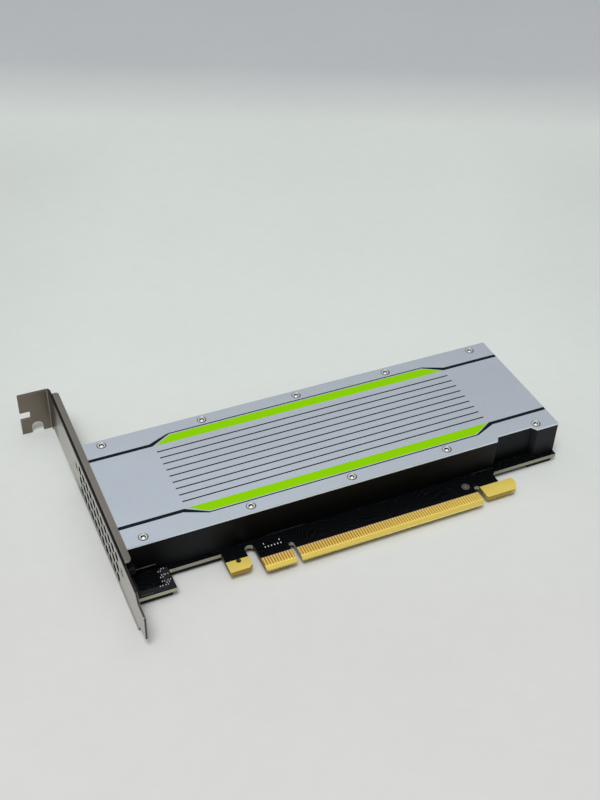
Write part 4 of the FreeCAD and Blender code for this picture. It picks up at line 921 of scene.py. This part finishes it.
class CARD_OT_stage(bpy.types.Operator):
    """Lay the floor under the card and set camera and lights"""

    bl_idname = "card.stage"
    bl_label = "Stage"

    REACH = 3.0  # half the floor's side, in metres
    POINTS = 13  # along each side

    def execute(self, context):
        setup = context.scene.card_stage
        self.lay_floor(setup)
        self.set_camera(context, setup)
        self.set_lights(context, setup)
        return {"FINISHED"}

    @staticmethod
    def rest_points():
        """The three lowest places the card lies on: tab, bracket's front edge, tail screw."""
        def corners(node):
            """The points of a CAD node as rows of x, y and z."""
            flat = np.empty(len(nodes[node].data.vertices) * 3, np.float32)
            nodes[node].data.vertices.foreach_get("co", flat)
            return flat.reshape(-1, 3).astype(float)

        bracket, screws = corners("bracket"), corners("backplate_screws")
        tab_depth = 2.0 * MM
        rear = bracket[bracket[:, 1] > bracket[:, 1].max() - tab_depth]
        front = bracket[bracket[:, 1] < 0.0]
        tail = screws[(screws[:, 1] < screws[:, 1].mean()) & (screws[:, 0] > screws[:, 0].mean())]
        return [part[np.argmin(part[:, 2])] for part in (rear, front, tail)]

    def lay_floor(self, setup):
        """A flat floor through the three rest points: point(i, j) = rest + a_i away + b_j beside.

        Its colour goes from the pale floor to the greyer backdrop with the distance behind the card, with
        painted shade towards the sides.
        """
        first, second, third = self.rest_points()
        normal = np.cross(second - first, third - first)
        normal *= np.sign(normal[2]) / np.linalg.norm(normal)
        aim = np.array(setup.aim)
        away = aim - normal * (aim @ normal)
        away /= np.linalg.norm(away)
        beside = np.cross(away, normal)
        steps = np.linspace(-self.REACH, self.REACH, self.POINTS)
        points = (first[None, None, :] + steps[:, None, None] * away
                  + steps[None, :, None] * beside)
        mesh = bpy.data.meshes.new("floor")
        mesh.from_pydata(points.reshape(-1, 3).tolist(), [],
                         patch(len(steps), len(steps))[:, ::-1].tolist())
        floor = link("floor", mesh)
        made = Finish("floor_card")
        behind = made.x * away[0] + made.y * away[1]
        aside = abs(made.x * beside[0] + made.y * beside[1])
        cloud = made.place.noise(0.012, 3.0)
        mark = made.place.noise(0.16, 6.0, 0.62)
        # paler and greener behind the card: partly the floor's own tint, partly painted light
        pale = behind.rise(-40.0, 110.0).tinted(setup.floor, setup.ground)
        far = behind.rise(350.0, 430.0).tinted(pale, setup.wall)
        # painted shade towards the sides of the floor, with faint clouds and marks
        side_shade_and_marks = (aside.rise(90.0, 200.0) * behind.rise(345.0, 275.0) * 0.10
               + cloud * 0.05 + mark * 0.06)
        made.set(Base_Color=side_shade_and_marks.tinted(far, BLACK), Roughness=0.6, Specular_IOR_Level=0.1)
        made.on(floor)

    @staticmethod
    def set_camera(context, setup):
        """A camera at the eye, looking along the aim, turned about it by the roll."""
        data = bpy.data.cameras.new("camera")
        data.lens = setup.lens
        data.clip_start = 0.01
        data.clip_end = 20.0
        camera = bpy.data.objects.new("camera", data)
        context.scene.collection.objects.link(camera)
        turn = Vector(setup.aim).to_track_quat("-Z", "Y").to_matrix().to_4x4()
        camera.matrix_world = (Matrix.Translation(Vector(setup.eye)) @ turn
                               @ Matrix.Rotation(setup.roll, 4, "Z"))
        context.scene.camera = camera

    @staticmethod
    def set_lights(context, setup):
        """A sky whose strength grows with the height above the horizon, sky * rise ^ 2.4, and one
        soft lamp from above the viewer's left. The camera, metal and glass see the backdrop's colour
        round the horizon."""
        world = bpy.data.worlds.new("studio")
        world.use_nodes = True
        context.scene.world = world
        tree = world.node_tree
        direction = Wire(tree).node("ShaderNodeTexCoord", output=0)
        height = direction.node("ShaderNodeSeparateXYZ", None, {"Vector": direction}, 2)
        up = height.most(0.0)
        glow = (up.maths("POWER", up, 2.4) * setup.sky + 0.02).tinted(BLACK, WHITE)
        seen = sum(direction.node("ShaderNodeLightPath", output=f"Is {kind} Ray")
                   for kind in ("Camera", "Glossy", "Transmission")).clamped()
        horizon = height.rise(-0.13, 0.10).tinted(scaled(setup.wall, 0.45), setup.wall)
        backdrop = height.rise(0.15, 0.45).tinted(horizon, glow)
        shade = seen.tinted(glow, backdrop)
        ground = tree.nodes["Background"]
        tree.links.new(shade.socket, ground.inputs["Color"])
        ground.inputs["Strength"].default_value = 1.0
        place = Vector(setup.lamp)
        data = bpy.data.lights.new("key", "AREA")
        data.shape = "SQUARE"
        data.size = setup.lamp_size
        data.energy = setup.key
        lamp = bpy.data.objects.new("key", data)
        context.scene.collection.objects.link(lamp)
        lamp.matrix_world = (Matrix.Translation(place)
                             @ (-place).to_track_quat("-Z", "Y").to_matrix().to_4x4())
        context.scene.view_settings.view_transform = "Standard"


class CARD_PT_panel(bpy.types.Panel):
    """The card's operators and settings"""

    bl_idname = "CARD_PT_panel"
    bl_label = "Passive accelerator card"
    bl_space_type = "VIEW_3D"
    bl_region_type = "UI"
    bl_category = "Card"

    def draw(self, context):
        """A button for each operator, then every size and colour."""
        for step in STEPS:
            self.layout.operator(step.bl_idname)
        for group in (context.scene.card_colours, context.scene.card_forms,
                      context.scene.card_stage):
            for name in group.__annotations__:
                self.layout.prop(group, name)


STEPS = (CARD_OT_cover, CARD_OT_print, CARD_OT_heatsink, CARD_OT_bracket, CARD_OT_board,
         CARD_OT_contacts, CARD_OT_screws, CARD_OT_foot_parts, CARD_OT_backplate,
         CARD_OT_inner_parts, CARD_OT_stage)
GROUPS = (CardColours, CardForms, CardStage)


def register():
    """Make the operators, the panel and the settings known."""
    for item in GROUPS + STEPS + (CARD_PT_panel,):
        bpy.utils.register_class(item)
    bpy.types.Scene.card_colours = bpy.props.PointerProperty(type=CardColours)
    bpy.types.Scene.card_forms = bpy.props.PointerProperty(type=CardForms)
    bpy.types.Scene.card_stage = bpy.props.PointerProperty(type=CardStage)


def unregister():
    """Take them away again, in reverse."""
    del bpy.types.Scene.card_stage
    del bpy.types.Scene.card_forms
    del bpy.types.Scene.card_colours
    for item in reversed(GROUPS + STEPS + (CARD_PT_panel,)):
        bpy.utils.unregister_class(item)


def main():
    """Build every piece and the stage."""
    register()
    bpy.ops.card.cover()
    bpy.ops.card.printing()
    bpy.ops.card.heatsink()
    bpy.ops.card.bracket()
    bpy.ops.card.board()
    bpy.ops.card.contacts()
    bpy.ops.card.screws()
    bpy.ops.card.foot_parts()
    bpy.ops.card.backplate()
    bpy.ops.card.inner_parts()
    bpy.ops.card.stage()


if __name__ == "__main__":
    main()
